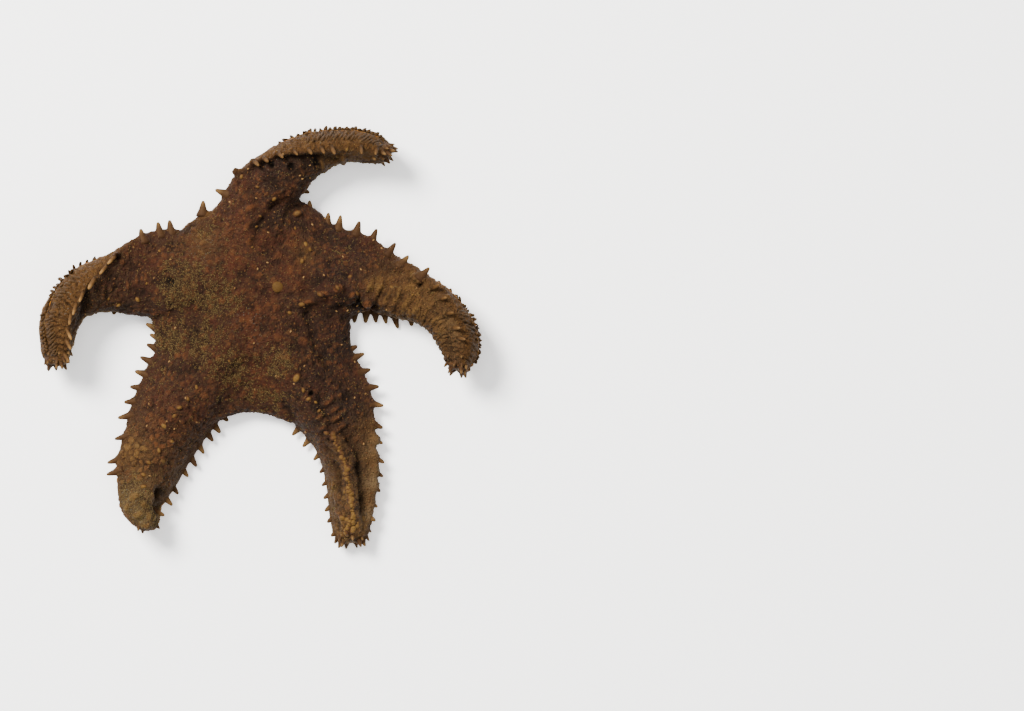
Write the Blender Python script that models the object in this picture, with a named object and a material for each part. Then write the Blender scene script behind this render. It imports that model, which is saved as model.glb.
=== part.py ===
"""A dried sheriff-badge sea star, life size, lying with its upper side up.

Measures are millimetres, taken in plan from the middle of the mouth, with x to the right,
y away from the viewer and z up from the surface that the star lies on.
"""

import math
import random

import bmesh
import bpy
import numpy as np
from mathutils import Vector

MM = 0.001
MOUTH_PLACE = Vector((-1.4, 11.9, 0.0))
NODE_GAP = 0.3
SEED = 20

# One station of an arm: its plan place and height, half its width, the turn of its upper side
# towards the left in degrees, the height of its keel and of its underside, and how far the keel
# and the groove stand off the middle, in half widths.
STATION_FIELDS = ("x", "y", "z", "half", "turn", "crest", "belly", "crest_off", "groove_off")

ARM_STATIONS = {
    "arm_1": (
        (-0.4, 10.0, 3.4, 13.0, 0, 11.0, 1.6, -0.05, 0.0),
        (-0.4, 20.0, 4.0, 13.0, -8, 11.0, 1.8, -0.15, 0.0),
        (1.2, 29.0, 5.4, 10.6, -28, 10.4, 2.8, -0.20, 0.0),
        (8.4, 35.4, 8.8, 10.5, -55, 7.9, 7.9, -0.10, 0.0),
        (16.5, 40.6, 9.8, 9.3, -81, 6.0, 7.9, 0.0, 0.0),
        (25.0, 43.4, 11.2, 8.2, -98, 5.0, 5.9, 0.0, 0.0),
        (33.5, 43.9, 12.3, 7.2, -106, 5.9, 4.1, 0.0, 0.0),
        (39.8, 41.5, 13.2, 5.2, -106, 4.4, 2.2, 0.0, 0.0),
    ),
    "arm_2": (
        (9.6, 3.6, 3.4, 13.0, 0, 11.0, 1.6, -0.10, 0.0),
        (19.8, 6.4, 4.0, 13.4, -4, 11.0, 1.8, -0.30, 0.0),
        (29.4, 6.4, 4.3, 12.4, -10, 10.4, 2.4, -0.40, 0.05),
        (38.2, 4.0, 4.5, 9.3, -25, 9.0, 3.4, -0.38, 0.12),
        (46.2, 0.5, 6.9, 9.4, -45, 7.0, 4.8, -0.20, 0.10),
        (53.3, -2.9, 9.0, 8.8, -65, 7.4, 5.6, -0.05, 0.0),
        (58.0, -8.4, 10.6, 8.2, -86, 7.1, 6.5, 0.0, 0.0),
        (60.7, -14.9, 12.0, 7.2, -90, 6.9, 5.6, 0.0, 0.0),
        (59.9, -21.8, 13.2, 5.2, -92, 4.7, 3.4, 0.0, 0.0),
    ),
    "arm_3": (
        (6.2, -7.8, 3.4, 13.0, 0, 11.0, 1.6, -0.10, 0.0),
        (12.2, -16.2, 3.8, 13.0, 0, 11.0, 1.8, -0.25, 0.0),
        (18.4, -24.6, 3.4, 13.2, -3, 10.4, 2.4, -0.32, 0.0),
        (23.4, -33.8, 3.2, 12.0, -5, 9.3, 3.0, -0.30, 0.05),
        (26.3, -43.0, 3.2, 9.1, -7, 8.2, 3.4, -0.22, 0.12),
        (27.8, -53.0, 3.3, 7.7, -8, 7.2, 3.5, -0.08, 0.16),
        (27.9, -63.0, 3.8, 6.6, -8, 6.3, 3.5, 0.05, 0.20),
        (28.3, -72.0, 5.0, 5.4, -8, 4.6, 3.0, 0.10, 0.10),
    ),
    "arm_4": (
        (-6.2, -7.8, 3.4, 13.0, 0, 11.0, 1.6, 0.10, 0.0),
        (-12.4, -16.2, 3.8, 13.4, 2, 11.0, 1.8, 0.22, 0.0),
        (-18.0, -24.4, 3.5, 13.8, 3, 10.4, 2.4, 0.24, 0.0),
        (-23.6, -33.4, 3.3, 12.6, 5, 9.4, 3.0, 0.14, 0.0),
        (-27.8, -42.2, 3.6, 11.2, 8, 8.4, 3.5, 0.10, -0.10),
        (-31.0, -51.2, 4.8, 9.6, 14, 7.4, 3.6, 0.05, -0.20),
        (-32.8, -60.0, 7.6, 7.2, 25, 6.2, 3.5, 0.0, -0.10),
        (-30.6, -67.8, 11.6, 3.9, 34, 4.0, 2.8, 0.0, 0.0),
    ),
    "arm_5": (
        (-9.6, 3.2, 3.4, 13.0, 0, 11.0, 1.6, 0.10, 0.0),
        (-19.4, 6.2, 4.0, 13.2, 6, 11.0, 1.8, 0.30, 0.0),
        (-29.2, 6.5, 4.8, 13.1, 16, 10.4, 2.6, 0.42, -0.12),
        (-38.2, 4.8, 7.4, 11.4, 41, 8.3, 5.3, 0.34, -0.16),
        (-45.8, 2.3, 9.6, 10.0, 76, 7.4, 8.8, 0.10, 0.0),
        (-52.2, -2.1, 11.0, 8.8, 98, 5.7, 8.1, 0.0, 0.0),
        (-56.5, -7.4, 11.8, 7.8, 116, 5.8, 6.0, 0.0, 0.0),
        (-57.3, -13.7, 12.4, 7.0, 124, 5.2, 4.4, 0.0, 0.0),
        (-57.2, -20.2, 13.0, 5.2, 128, 3.6, 3.0, 0.0, 0.0),
    ),
}

# Where the thin gaps part the disc from each arm and the arm into three lengths, along the arm.
ARM_CUTS = {
    "arm_1": (32.5, 47.0, 61.0),
    "arm_2": (37.3, 49.0, 64.0),
    "arm_3": (33.3, 45.9, 59.6),
    "arm_4": (31.2, 46.4, 59.3),
    "arm_5": (34.6, 48.5, 62.0),
}
ARM_LENGTHS = ("base", "middle", "tip")
ROOT_START = 11.0
TIP_ROUND = 5.0
TIP_CLOSING = 0.6

# The edge of the disc's web between the arms, as plan angle in degrees and reach from the mouth.
WEB_EDGE = (
    (15.0, 30.0), (40.0, 30.0), (59.0, 31.0), (66.0, 30.2), (76.0, 27.0), (92.0, 29.0), (105.0, 30.0),
    (117.0, 27.8), (134.0, 28.7), (165.0, 30.0), (190.0, 30.5), (201.0, 31.2), (211.0, 33.0),
    (233.0, 30.0), (249.0, 34.6), (254.5, 37.4), (257.4, 36.0), (260.2, 34.8), (265.0, 34.0),
    (270.0, 33.8), (275.0, 34.4), (279.8, 35.5), (282.6, 36.8), (285.5, 38.6), (290.0, 38.2),
    (307.0, 30.0), (330.0, 32.4), (337.0, 30.0), (345.0, 28.4),
)
DISC_TOP = 14.0
DOME_FULLNESS = 2.5
WEB_EDGE_TOP = 6.4
WEB_EDGE_BOTTOM = 1.2
ORAL_FACE = 1.9

# How the flanks rise to the keel at the arm's root and from the middle on: 1 is round, 2 nearly
# straight, and above that they are hollow.
FLANK_AT_ROOT = 1.1
FLANK_FAR_OUT = 2.3
FLANK_SETTLED = 45.0

GROOVE_HALF = 0.7
GROOVE_DEPTH = 2.4
RIDGE_HALF = 3.4
RIDGE_SHARE = 0.86
GROOVE_SPINE_PITCH = 4.6
MOUTH_RADIUS = 3.6
JAW_REACH = 0.62
LOBE_HALF = 0.28
MOUTH_LEVELS = ((-2.0, 1.15), (2.0, 1.0), (7.0, 0.55))
PLATE_PLACE = (7.0, 2.5)
PLATE_RADIUS = 1.9
PLATE_THICK = 1.3

SPINE_REACH = 3.1
SPINE_LEAN = 0.35
SPINE_SUNK = 1.6
SPINE_ROOT = 0.95
SPINE_TIP = 0.28
KNOB_PITCH = 5.2
CUT_CLEARANCE = 2.1
TIP_SPINES = 6
TIP_SPINE_REACH = 1.4

# Tips of the marginal spines that stand out in plan, one line to each side of an arm.
SPINE_TIPS = {
    "arm_1": (
        (-11.0, 30.7), (15.5, 30.3),
    ),
    "arm_2": (
        (16.0, 27.5), (21.5, 23.8), (25.0, 23.0), (30.5, 21.4), (35.5, 19.2), (41.0, 15.2),
        (44.8, 11.4), (50.8, 7.8),
        (29.0, -7.6), (32.2, -7.4), (35.2, -7.6), (38.2, -8.0), (41.5, -9.0),
    ),
    "arm_3": (
        (31.5, -17.0), (33.5, -21.5), (35.8, -26.5), (37.3, -32.0), (37.2, -38.5), (37.2, -43.0),
        (37.4, -48.5), (37.0, -52.5), (36.5, -57.0), (35.6, -61.5), (35.0, -65.5),
        (11.0, -40.5), (14.0, -44.0), (17.2, -47.8), (19.0, -51.5), (19.8, -55.2), (20.2, -59.0),
        (20.6, -62.6), (21.2, -66.0), (22.6, -69.8),
    ),
    "arm_4": (
        (-31.4, -8.3), (-30.2, -11.4), (-31.3, -14.2), (-33.0, -18.0), (-34.8, -22.0),
        (-36.2, -26.5), (-38.0, -31.0), (-39.4, -35.5), (-40.2, -41.6), (-42.6, -48.6),
        (-42.8, -52.0),
        (-8.0, -36.5), (-10.5, -39.6), (-12.5, -42.2), (-15.0, -46.0), (-17.4, -49.4),
        (-19.8, -52.6), (-22.8, -57.4), (-24.4, -60.8),
    ),
    "arm_5": (
        (-15.0, 27.5), (-24.7, 21.6), (-28.0, 21.0), (-32.9, 19.2),
    ),
}

# Spines on the edges that are turned up or down there: side, first and last place along the arm.
TURNED_SPINES = {
    "arm_1": ((1, 35.0, 71.0), (-1, 42.0, 71.0)),
    "arm_2": ((1, 57.0, 75.0), (-1, 50.5, 75.0)),
    "arm_3": (),
    "arm_4": ((-1, 69.0, 73.0),),
    "arm_5": ((-1, 38.0, 74.0), (1, 44.0, 74.0)),
}
TURNED_PITCH = 4.4

COLOURS = {
    "disc": ((0.085, 0.034, 0.020, 1.0), 0.78),
    "base": ((0.095, 0.040, 0.022, 1.0), 0.78),
    "middle": ((0.130, 0.062, 0.030, 1.0), 0.80),
    "tip": ((0.190, 0.110, 0.050, 1.0), 0.84),
    "madreporite": ((0.230, 0.135, 0.065, 1.0), 0.72),
}


# Smooth values along an arm
def slopes(places, values):
    """Slopes that carry a curve through values that stand at uneven places."""
    steps = np.diff(places)
    rates = np.diff(values, axis=0) / steps[:, None]
    result = np.zeros_like(values)
    result[0] = rates[0]
    result[-1] = rates[-1]
    before = steps[:-1, None]
    after = steps[1:, None]
    result[1:-1] = (rates[:-1] * after + rates[1:] * before) / (before + after)
    return result


class Arm:
    """The course and the cross sections of one arm."""

    def __init__(self, name):
        self.name = name
        first = ARM_STATIONS[name][0]
        centre = (0.0, 0.0) + first[2:]
        self.values = np.array((centre,) + ARM_STATIONS[name], dtype=float)
        chords = np.linalg.norm(np.diff(self.values[:, :3], axis=0), axis=1)
        self.places = np.concatenate(((0.0,), np.cumsum(chords)))
        self.slopes = slopes(self.places, self.values)
        self.length = float(self.places[-1])

    def at(self, place):
        """Every field of the arm at one place along it."""
        place = min(max(place, 0.0), self.length)
        index = int(np.clip(np.searchsorted(self.places, place) - 1, 0, len(self.places) - 2))
        step = self.places[index + 1] - self.places[index]
        t = (place - self.places[index]) / step
        start = (1 + 2 * t) * (1 - t) ** 2 * self.values[index]
        start += t * (1 - t) ** 2 * step * self.slopes[index]
        end = t * t * (3 - 2 * t) * self.values[index + 1]
        end += t * t * (t - 1) * step * self.slopes[index + 1]
        return dict(zip(STATION_FIELDS, start + end))

    def frame(self, place):
        """Middle, way outwards, sideways and upwards directions of the arm at a place."""
        here = self.at(place)
        ahead = self.at(place + 0.5)
        behind = self.at(place - 0.5)
        way = Vector([ahead[axis] - behind[axis] for axis in "xyz"]).normalized()
        left = Vector((-way.y, way.x, 0.0)).normalized()
        up = way.cross(left)
        turn = math.radians(here["turn"])
        top = up * math.cos(turn) + left * math.sin(turn)
        side = left * math.cos(turn) - up * math.sin(turn)
        return Vector((here["x"], here["y"], here["z"])), way, side, top

    def rounding(self, place):
        """How much of the full section is left where the tip rounds off."""
        into_tip = max(0.0, (place - self.length + TIP_ROUND) / TIP_ROUND)
        return math.sqrt(max(0.0, 1.0 - TIP_CLOSING * into_tip ** 2.4))

    def edge(self, place, side_sign):
        """The edge of the arm on one side: 1 is left of the way outwards, -1 is right."""
        middle, way, side, top = self.frame(place)
        return middle + side * (side_sign * self.at(place)["half"] * self.rounding(place))

    def crest(self, place):
        """The top of the keel."""
        here = self.at(place)
        middle, way, side, top = self.frame(place)
        shrink = self.rounding(place)
        sideways = here["crest_off"] * here["half"] * shrink
        return middle + side * sideways + top * (here["crest"] * shrink)

    def section(self, place):
        """The closed outline across the arm, from the left edge over the keel and back."""
        here = self.at(place)
        middle, way, side, top = self.frame(place)
        shrink = self.rounding(place)
        half = here["half"] * shrink
        crest = here["crest"] * shrink
        belly = here["belly"] * shrink
        settled = min(1.0, place / FLANK_SETTLED)
        flank = FLANK_AT_ROOT + (FLANK_FAR_OUT - FLANK_AT_ROOT) * settled
        outline = []
        for step in range(9):
            angle = math.pi * step / 8
            rise = math.sin(angle)
            across = half * math.cos(angle) + here["crest_off"] * half * rise * rise
            outline.append((across, crest * rise ** flank))
        scale = shrink * min(1.0, here["half"] / 9.0)
        groove = here["groove_off"] * half
        floor = -belly + min(GROOVE_DEPTH, 0.4 * (belly + crest)) * shrink
        outline.append((-0.93 * half, -0.38 * belly))
        outline.append((-0.66 * half, -0.66 * belly))
        outline.append((groove - RIDGE_HALF * scale, -0.76 * belly))
        ridge = RIDGE_SHARE * belly
        outline.append((groove - 0.72 * RIDGE_HALF * scale, -ridge))
        outline.append((groove - 1.3 * GROOVE_HALF * scale, -ridge))
        outline.append((groove - 0.5 * GROOVE_HALF * scale, floor))
        outline.append((groove + 0.5 * GROOVE_HALF * scale, floor))
        outline.append((groove + 1.3 * GROOVE_HALF * scale, -ridge))
        outline.append((groove + 0.72 * RIDGE_HALF * scale, -ridge))
        outline.append((groove + RIDGE_HALF * scale, -0.76 * belly))
        outline.append((0.66 * half, -0.66 * belly))
        outline.append((0.93 * half, -0.38 * belly))
        return [middle + side * across + top * rise for across, rise in outline]


# Building closed meshes
def new_object(name, builder):
    """Make an object from a function that fills a mesh in millimetres."""
    shape = bmesh.new()
    builder(shape)
    bmesh.ops.recalc_face_normals(shape, faces=shape.faces)
    bmesh.ops.triangulate(shape, faces=shape.faces)
    mesh = bpy.data.meshes.new(name)
    for vertex in shape.verts:
        vertex.co = (vertex.co + MOUTH_PLACE) * MM
    shape.to_mesh(mesh)
    shape.free()
    result = bpy.data.objects.new(name, mesh)
    bpy.context.scene.collection.objects.link(result)
    return result


def skin_rings(shape, rings):
    """Join rings of points into one closed tube with flat ends."""
    loops = []
    for ring in rings:
        loops.append([shape.verts.new(point) for point in ring])
    for near, far in zip(loops, loops[1:]):
        for index in range(len(near)):
            after = (index + 1) % len(near)
            shape.faces.new((near[index], near[after], far[after], far[index]))
    shape.faces.new(loops[0])
    shape.faces.new(loops[-1])


def on_the_floor(point):
    """Flatten whatever would lie below the surface that the star rests on."""
    return Vector((point.x, point.y, max(point.z, 0.0)))


def clearance(arm):
    """A tool that keeps the disc off the first length of an arm, with the gap all round."""
    rings = []
    for step in range(5):
        place = ARM_CUTS[arm.name][0] + 3.0 * step
        middle, way, side, top = arm.frame(place)
        shift = way * (-NODE_GAP / 2) if step == 0 else Vector()
        grow = 1.0 + NODE_GAP / 2.5
        rings.append([middle + (point - middle) * grow + shift for point in arm.section(place)])
    return new_object("clearance", lambda shape: skin_rings(shape, rings))


def arm_length(arm, first, last):
    """One length of an arm, its ends set back by half the gap where it meets the next."""
    count = max(3, round((last - first) / 3.6))
    places = [first + (last - first) * step / count for step in range(count + 1)]
    if last == arm.length:
        places[-1:] = [last - 2.4, last - 1.0, last - 0.25, last]
    rings = []
    for place in places:
        shift = Vector((0.0, 0.0, 0.0))
        if place == first:
            shift = arm.frame(place)[1] * (NODE_GAP / 2)
        elif place == last and last != arm.length:
            shift = arm.frame(place)[1] * (-NODE_GAP / 2)
        rings.append([on_the_floor(point + shift) for point in arm.section(place)])
    return new_object(arm.name + "_length", lambda shape: skin_rings(shape, rings))


def web_reach(angle):
    """Reach of the web of the disc from the mouth, at a plan angle in degrees."""
    angles, reaches = zip(*WEB_EDGE)
    return float(np.interp(angle, angles, reaches, period=360.0))


def disc_body():
    """The low dome of the disc, with the thick edge of its web."""
    sides = 36
    levels = ((0.3, 1), (0.6, 1), (0.85, 1), (1.0, 1), (1.0, -1), (0.8, -1), (0.35, -1))
    rings = []
    for share, face in levels:
        ring = []
        for step in range(sides):
            angle = 360.0 * step / sides
            reach = web_reach(angle) * share
            if face > 0:
                height = WEB_EDGE_TOP + (DISC_TOP - WEB_EDGE_TOP) * (1 - share ** DOME_FULLNESS)
            else:
                height = ORAL_FACE + (WEB_EDGE_BOTTOM - ORAL_FACE) * share ** 3
            around = math.radians(angle)
            ring.append(Vector((reach * math.cos(around), reach * math.sin(around), height)))
        rings.append(ring)
    return new_object("disc_body", lambda shape: skin_rings(shape, rings))


def cone(root, tip, root_radius, tip_radius, sides=5):
    """A tapering spine between two points."""
    way = (tip - root).normalized()
    across = way.orthogonal().normalized()
    beside = way.cross(across)
    rings = []
    for middle, radius in ((root, root_radius), (tip, tip_radius)):
        ring = []
        for step in range(sides):
            angle = 2 * math.pi * step / sides
            offset = across * math.cos(angle) + beside * math.sin(angle)
            ring.append(on_the_floor(middle + offset * radius))
        rings.append(ring)
    return new_object("spine", lambda shape: skin_rings(shape, rings))


# Joining and cutting
def join_by(target, others, operation):
    """Apply one Boolean with every other object, then take those away."""
    group = bpy.data.collections.new("group")
    for other in others:
        group.objects.link(other)
    modifier = target.modifiers.new("join", "BOOLEAN")
    modifier.operation = operation
    modifier.solver = "EXACT"
    modifier.operand_type = "COLLECTION"
    modifier.collection = group
    graph = bpy.context.evaluated_depsgraph_get()
    made = bpy.data.meshes.new_from_object(target.evaluated_get(graph))
    target.modifiers.clear()
    target.data = made
    for other in list(group.objects):
        bpy.data.objects.remove(other)
    bpy.data.collections.remove(group)
    keep_largest(target)


def keep_largest(target):
    """Keep only the largest closed surface of a mesh."""
    shape = bmesh.new()
    shape.from_mesh(target.data)
    bmesh.ops.remove_doubles(shape, verts=shape.verts, dist=2e-6)
    bmesh.ops.triangulate(shape, faces=shape.faces)
    bmesh.ops.dissolve_degenerate(shape, edges=shape.edges, dist=1e-6)
    bmesh.ops.triangulate(shape, faces=shape.faces)
    left = set(shape.verts)
    groups = []
    while left:
        stack = [left.pop()]
        group = set(stack)
        while stack:
            for edge in stack.pop().link_edges:
                for vertex in edge.verts:
                    if vertex in left:
                        left.discard(vertex)
                        group.add(vertex)
                        stack.append(vertex)
        groups.append(group)
    largest = max(groups, key=len)
    loose = [vertex for vertex in shape.verts if vertex not in largest]
    bmesh.ops.delete(shape, geom=loose, context="VERTS")
    shape.to_mesh(target.data)
    shape.free()


def give_material(target, name, kind):
    """Give a node its own material."""
    colour, roughness = COLOURS[kind]
    material = bpy.data.materials.new(name)
    material.use_nodes = True
    surface = material.node_tree.nodes["Principled BSDF"]
    surface.inputs["Base Color"].default_value = colour
    surface.inputs["Roughness"].default_value = roughness
    surface.inputs["Metallic"].default_value = 0.0
    target.data.materials.clear()
    target.data.materials.append(material)


# Spines of the edges and knobs of the keels
def nearest_place(arm, tip):
    """The place along an arm, and its side, whose edge lies nearest to a spine's tip in plan."""
    best = None
    for step in range(int(2 * (arm.length - 18.0))):
        place = 18.0 + 0.5 * step
        for side_sign in (1, -1):
            edge = arm.edge(place, side_sign)
            distance = (edge.xy - Vector(tip)).length
            if best is None or distance < best[0]:
                best = (distance, place, side_sign)
    return best[1], best[2]


def spine_from_tip(arm, tip):
    """A marginal spine whose tip stands out in plan."""
    nearest, side_sign = nearest_place(arm, tip)
    place = clear_of_cuts(arm, nearest)
    middle, way, side, top = arm.frame(place)
    edge = arm.edge(place, side_sign)
    level_side = Vector((side.x, side.y, 0.0)).normalized() * side_sign
    level_way = Vector((way.x, way.y, 0.0)).normalized()
    point = Vector((tip[0], tip[1], max(0.9, edge.z + 0.5))) + level_way * (place - nearest)
    behind = SPINE_LEAN * (SPINE_REACH + SPINE_SUNK)
    for cut in ARM_CUTS[arm.name]:
        if 0.0 < place - cut < CUT_CLEARANCE + behind:
            behind = 0.0
    root = point - level_side * (SPINE_REACH + SPINE_SUNK) - level_way * behind
    root.z = max(1.4, edge.z + 0.3)
    return place, cone(root, point, SPINE_ROOT, SPINE_TIP)


def turned_spine(arm, place, side_sign, reach):
    """A marginal spine on an edge that is turned up or down."""
    middle, way, side, top = arm.frame(place)
    edge = arm.edge(place, side_sign)
    outward = (side * side_sign + top * 0.18 + way * (0.7 * SPINE_LEAN)).normalized()
    tip = edge + outward * reach
    tip.z = max(tip.z, 0.5)
    root = edge - outward * SPINE_SUNK
    return cone(root, tip, SPINE_ROOT, SPINE_TIP)


def keel_knob(arm, place, rise):
    """A blunt knob on the keel."""
    top = arm.frame(place)[3]
    crest = arm.crest(place)
    return cone(crest - top * 1.6, crest + top * rise, 1.35, 0.6)


def groove_spine(arm, place, side_sign):
    """One of the broad spines beside the groove, pointing down and away from it."""
    middle, way, side, top = arm.frame(place)
    here = arm.at(place)
    scale = min(1.0, here["half"] / 9.0)
    groove = here["groove_off"] * here["half"]
    drop = here["belly"] + 1.3 * max(0.0, 1.0 - place / 30.0)
    root = middle + side * (groove + side_sign * 1.8 * scale) - top * (RIDGE_SHARE * drop - 1.3)
    tip = middle + side * (groove + side_sign * 3.0 * scale) - top * drop + way * 0.5
    return cone(root, tip, 0.85 * scale, 0.4, sides=4)


def tip_spine(arm, angle, reach):
    """One of the small spines that fan round the blunt tip of an arm."""
    place = arm.length - 1.2
    middle, way, side, top = arm.frame(place)
    here = arm.at(place)
    shrink = 0.72 * arm.rounding(place)
    across = math.cos(angle) * here["half"] * shrink
    rise = math.sin(angle) * here["crest"] * shrink * 0.8
    root = middle + side * across + top * rise - way * 1.0
    outward = (way + side * (0.7 * math.cos(angle)) + top * (0.5 * math.sin(angle))).normalized()
    return cone(root, root + outward * (reach + 2.4), 0.8, SPINE_TIP)


def length_name(arm, place):
    """The node that a place along an arm belongs to."""
    for name, start in reversed(list(zip(ARM_LENGTHS, ARM_CUTS[arm.name]))):
        if place >= start:
            return arm.name + "_" + name
    return "disc"


def clear_of_cuts(arm, place):
    """Move a place along an arm away from the gap between two lengths."""
    for cut in ARM_CUTS[arm.name]:
        if abs(place - cut) < CUT_CLEARANCE:
            return cut + math.copysign(CUT_CLEARANCE, place - cut)
    return place


def grown_forms(arms):
    """Every spine and knob, listed by the node that it grows from."""
    chance = random.Random(SEED)
    grown = {}
    for arm in arms:
        for tip in SPINE_TIPS[arm.name]:
            place, spine = spine_from_tip(arm, tip)
            grown.setdefault(length_name(arm, place), []).append(spine)
        for side_sign, first, last in TURNED_SPINES[arm.name]:
            place = first
            while place < last:
                at = clear_of_cuts(arm, place)
                reach = SPINE_REACH * chance.uniform(0.7, 1.0)
                spine = turned_spine(arm, at, side_sign, reach)
                grown.setdefault(length_name(arm, at), []).append(spine)
                place += TURNED_PITCH * chance.uniform(0.85, 1.15)
        place = 16.0
        while place < arm.length - 5.0:
            at = clear_of_cuts(arm, place)
            knob = keel_knob(arm, at, chance.uniform(0.7, 1.5))
            grown.setdefault(length_name(arm, at), []).append(knob)
            place += KNOB_PITCH * chance.uniform(0.8, 1.2)
        for side_sign in (1, -1):
            place = ROOT_START
            while place < arm.length - 6.0:
                at = clear_of_cuts(arm, place)
                spine = groove_spine(arm, at, side_sign)
                grown.setdefault(length_name(arm, at), []).append(spine)
                place += GROOVE_SPINE_PITCH * chance.uniform(0.9, 1.1)
        for step in range(TIP_SPINES):
            angle = math.pi * (step + 0.5 * chance.random()) / (TIP_SPINES - 0.5)
            spine = tip_spine(arm, angle, TIP_SPINE_REACH * chance.uniform(0.6, 1.0))
            grown[arm.name + "_tip"].append(spine)
    return grown


# Openings of the disc, its sieve plate and the nodes
def groove_cutter(arm):
    """The slit that the disc's underside keeps open from the mouth to an arm."""
    rings = []
    for step in range(10):
        place = 1.0 + (ARM_CUTS[arm.name][0] + 1.0) * step / 9
        middle, way, side, top = arm.frame(place)
        here = arm.at(place)
        middle = middle + side * (here["groove_off"] * here["half"])
        low = middle - top * (here["belly"] + 2.5)
        high = middle - top * (here["belly"] - GROOVE_DEPTH)
        ring = [low - side * GROOVE_HALF * 1.5, low + side * GROOVE_HALF * 1.5]
        ring += [high + side * GROOVE_HALF * 0.5, high - side * GROOVE_HALF * 0.5]
        rings.append(ring)
    return new_object("groove_cutter", lambda shape: skin_rings(shape, rings))


def mouth_cutter(arms):
    """The five-lobed mouth, open below."""
    heads = sorted(math.atan2(arm.at(10.0)["y"], arm.at(10.0)["x"]) for arm in arms)
    rings = []
    for height, share in MOUTH_LEVELS:
        ring = []
        for index, head in enumerate(heads):
            following = heads[(index + 1) % len(heads)]
            jaw = head + ((following - head) % (2 * math.pi)) / 2
            lobe = ((head - LOBE_HALF, 1.0), (head + LOBE_HALF, 1.0), (jaw, JAW_REACH))
            for angle, reach in lobe:
                radius = MOUTH_RADIUS * share * reach
                ring.append(Vector((radius * math.cos(angle), radius * math.sin(angle), height)))
        rings.append(ring)
    return new_object("mouth_cutter", lambda shape: skin_rings(shape, rings))


def plate_ring(radius, height, sides=14):
    """A level ring of points round the sieve plate's place."""
    ring = []
    for step in range(sides):
        angle = 2 * math.pi * step / sides
        x = PLATE_PLACE[0] + radius * math.cos(angle)
        y = PLATE_PLACE[1] + radius * math.sin(angle)
        ring.append(Vector((x, y, height)))
    return ring


def plate_seat():
    """Height of the floor of the pocket that the sieve plate sits in."""
    return DISC_TOP - PLATE_THICK


def build():
    for old in list(bpy.data.objects):
        bpy.data.objects.remove(old)
    arms = [Arm(name) for name in ARM_STATIONS]
    grown = grown_forms(arms)

    disc = disc_body()
    disc.name = "disc"
    roots = [arm_length(arm, ROOT_START, ARM_CUTS[arm.name][0]) for arm in arms]
    join_by(disc, roots + grown.pop("disc", []), "UNION")
    pocket_rings = [plate_ring(PLATE_RADIUS + NODE_GAP, height) for height in (plate_seat(), 25.0)]
    pocket = new_object("pocket", lambda shape: skin_rings(shape, pocket_rings))
    join_by(disc, [pocket] + [clearance(arm) for arm in arms], "DIFFERENCE")
    slits = mouth_cutter(arms)
    join_by(slits, [groove_cutter(arm) for arm in arms], "UNION")
    join_by(disc, [slits], "DIFFERENCE")
    give_material(disc, "disc", "disc")

    seat = plate_seat() + NODE_GAP
    rings = [plate_ring(PLATE_RADIUS, seat), plate_ring(PLATE_RADIUS, seat + 0.8 * PLATE_THICK)]
    rings.append(plate_ring(0.6 * PLATE_RADIUS, seat + PLATE_THICK))
    plate = new_object("madreporite", lambda shape: skin_rings(shape, rings))
    give_material(plate, "madreporite", "madreporite")

    for arm in arms:
        cuts = ARM_CUTS[arm.name]
        for name, first, last in zip(ARM_LENGTHS, cuts, cuts[1:] + (arm.length,)):
            node_name = arm.name + "_" + name
            node = arm_length(arm, first, last)
            node.name = node_name
            join_by(node, grown.pop(node_name, []), "UNION")
            give_material(node, node_name, name)


build()
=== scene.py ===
"""A dried sheriff-badge sea star, life size, seen from above as it lies on a pale surface."""
import math
import random

import bmesh
import bpy
import numpy as np
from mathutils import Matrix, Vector, noise
from mathutils.bvhtree import BVHTree
from mathutils.kdtree import KDTree


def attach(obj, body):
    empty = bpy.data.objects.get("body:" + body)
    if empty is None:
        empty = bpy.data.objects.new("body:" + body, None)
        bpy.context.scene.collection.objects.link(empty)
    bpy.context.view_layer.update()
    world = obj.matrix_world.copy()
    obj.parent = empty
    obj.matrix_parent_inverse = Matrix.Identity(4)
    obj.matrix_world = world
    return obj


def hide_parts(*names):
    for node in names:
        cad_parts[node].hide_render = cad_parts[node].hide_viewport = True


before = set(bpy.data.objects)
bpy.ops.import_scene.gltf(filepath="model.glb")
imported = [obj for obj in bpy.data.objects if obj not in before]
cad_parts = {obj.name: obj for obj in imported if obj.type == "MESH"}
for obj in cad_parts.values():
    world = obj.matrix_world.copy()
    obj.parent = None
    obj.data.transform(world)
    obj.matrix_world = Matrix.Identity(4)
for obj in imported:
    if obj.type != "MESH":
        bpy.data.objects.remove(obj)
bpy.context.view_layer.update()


# The surface that the specimen lies on, the studio light and the camera.
# It is a pale matt sheet, lit softly from the upper left, with the camera straight above.
MM = 0.001
MOUTH_PLACE = np.array((-1.4, 11.9, 0.0))
PICTURE_MIDDLE = np.array((75.0, -17.4, 10.0))
PICTURE_WIDTH = 297.7
LENS = 200.0
SENSOR = 36.0


def add_object(name, data):
    """Put a mesh, a light or a camera into the scene."""
    made = bpy.data.objects.new(name, data)
    bpy.context.scene.collection.objects.link(made)
    return made


def dull_material(name, roughness, gloss, tint=(1.0, 1.0, 1.0, 1.0)):
    """A new material with little gloss, and its shader."""
    material = bpy.data.materials.new(name)
    material.use_nodes = True
    surface = material.node_tree.nodes["Principled BSDF"]
    surface.inputs["Roughness"].default_value = roughness
    surface.inputs["Specular IOR Level"].default_value = gloss
    surface.inputs["Specular Tint"].default_value = tint
    return material, surface


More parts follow.
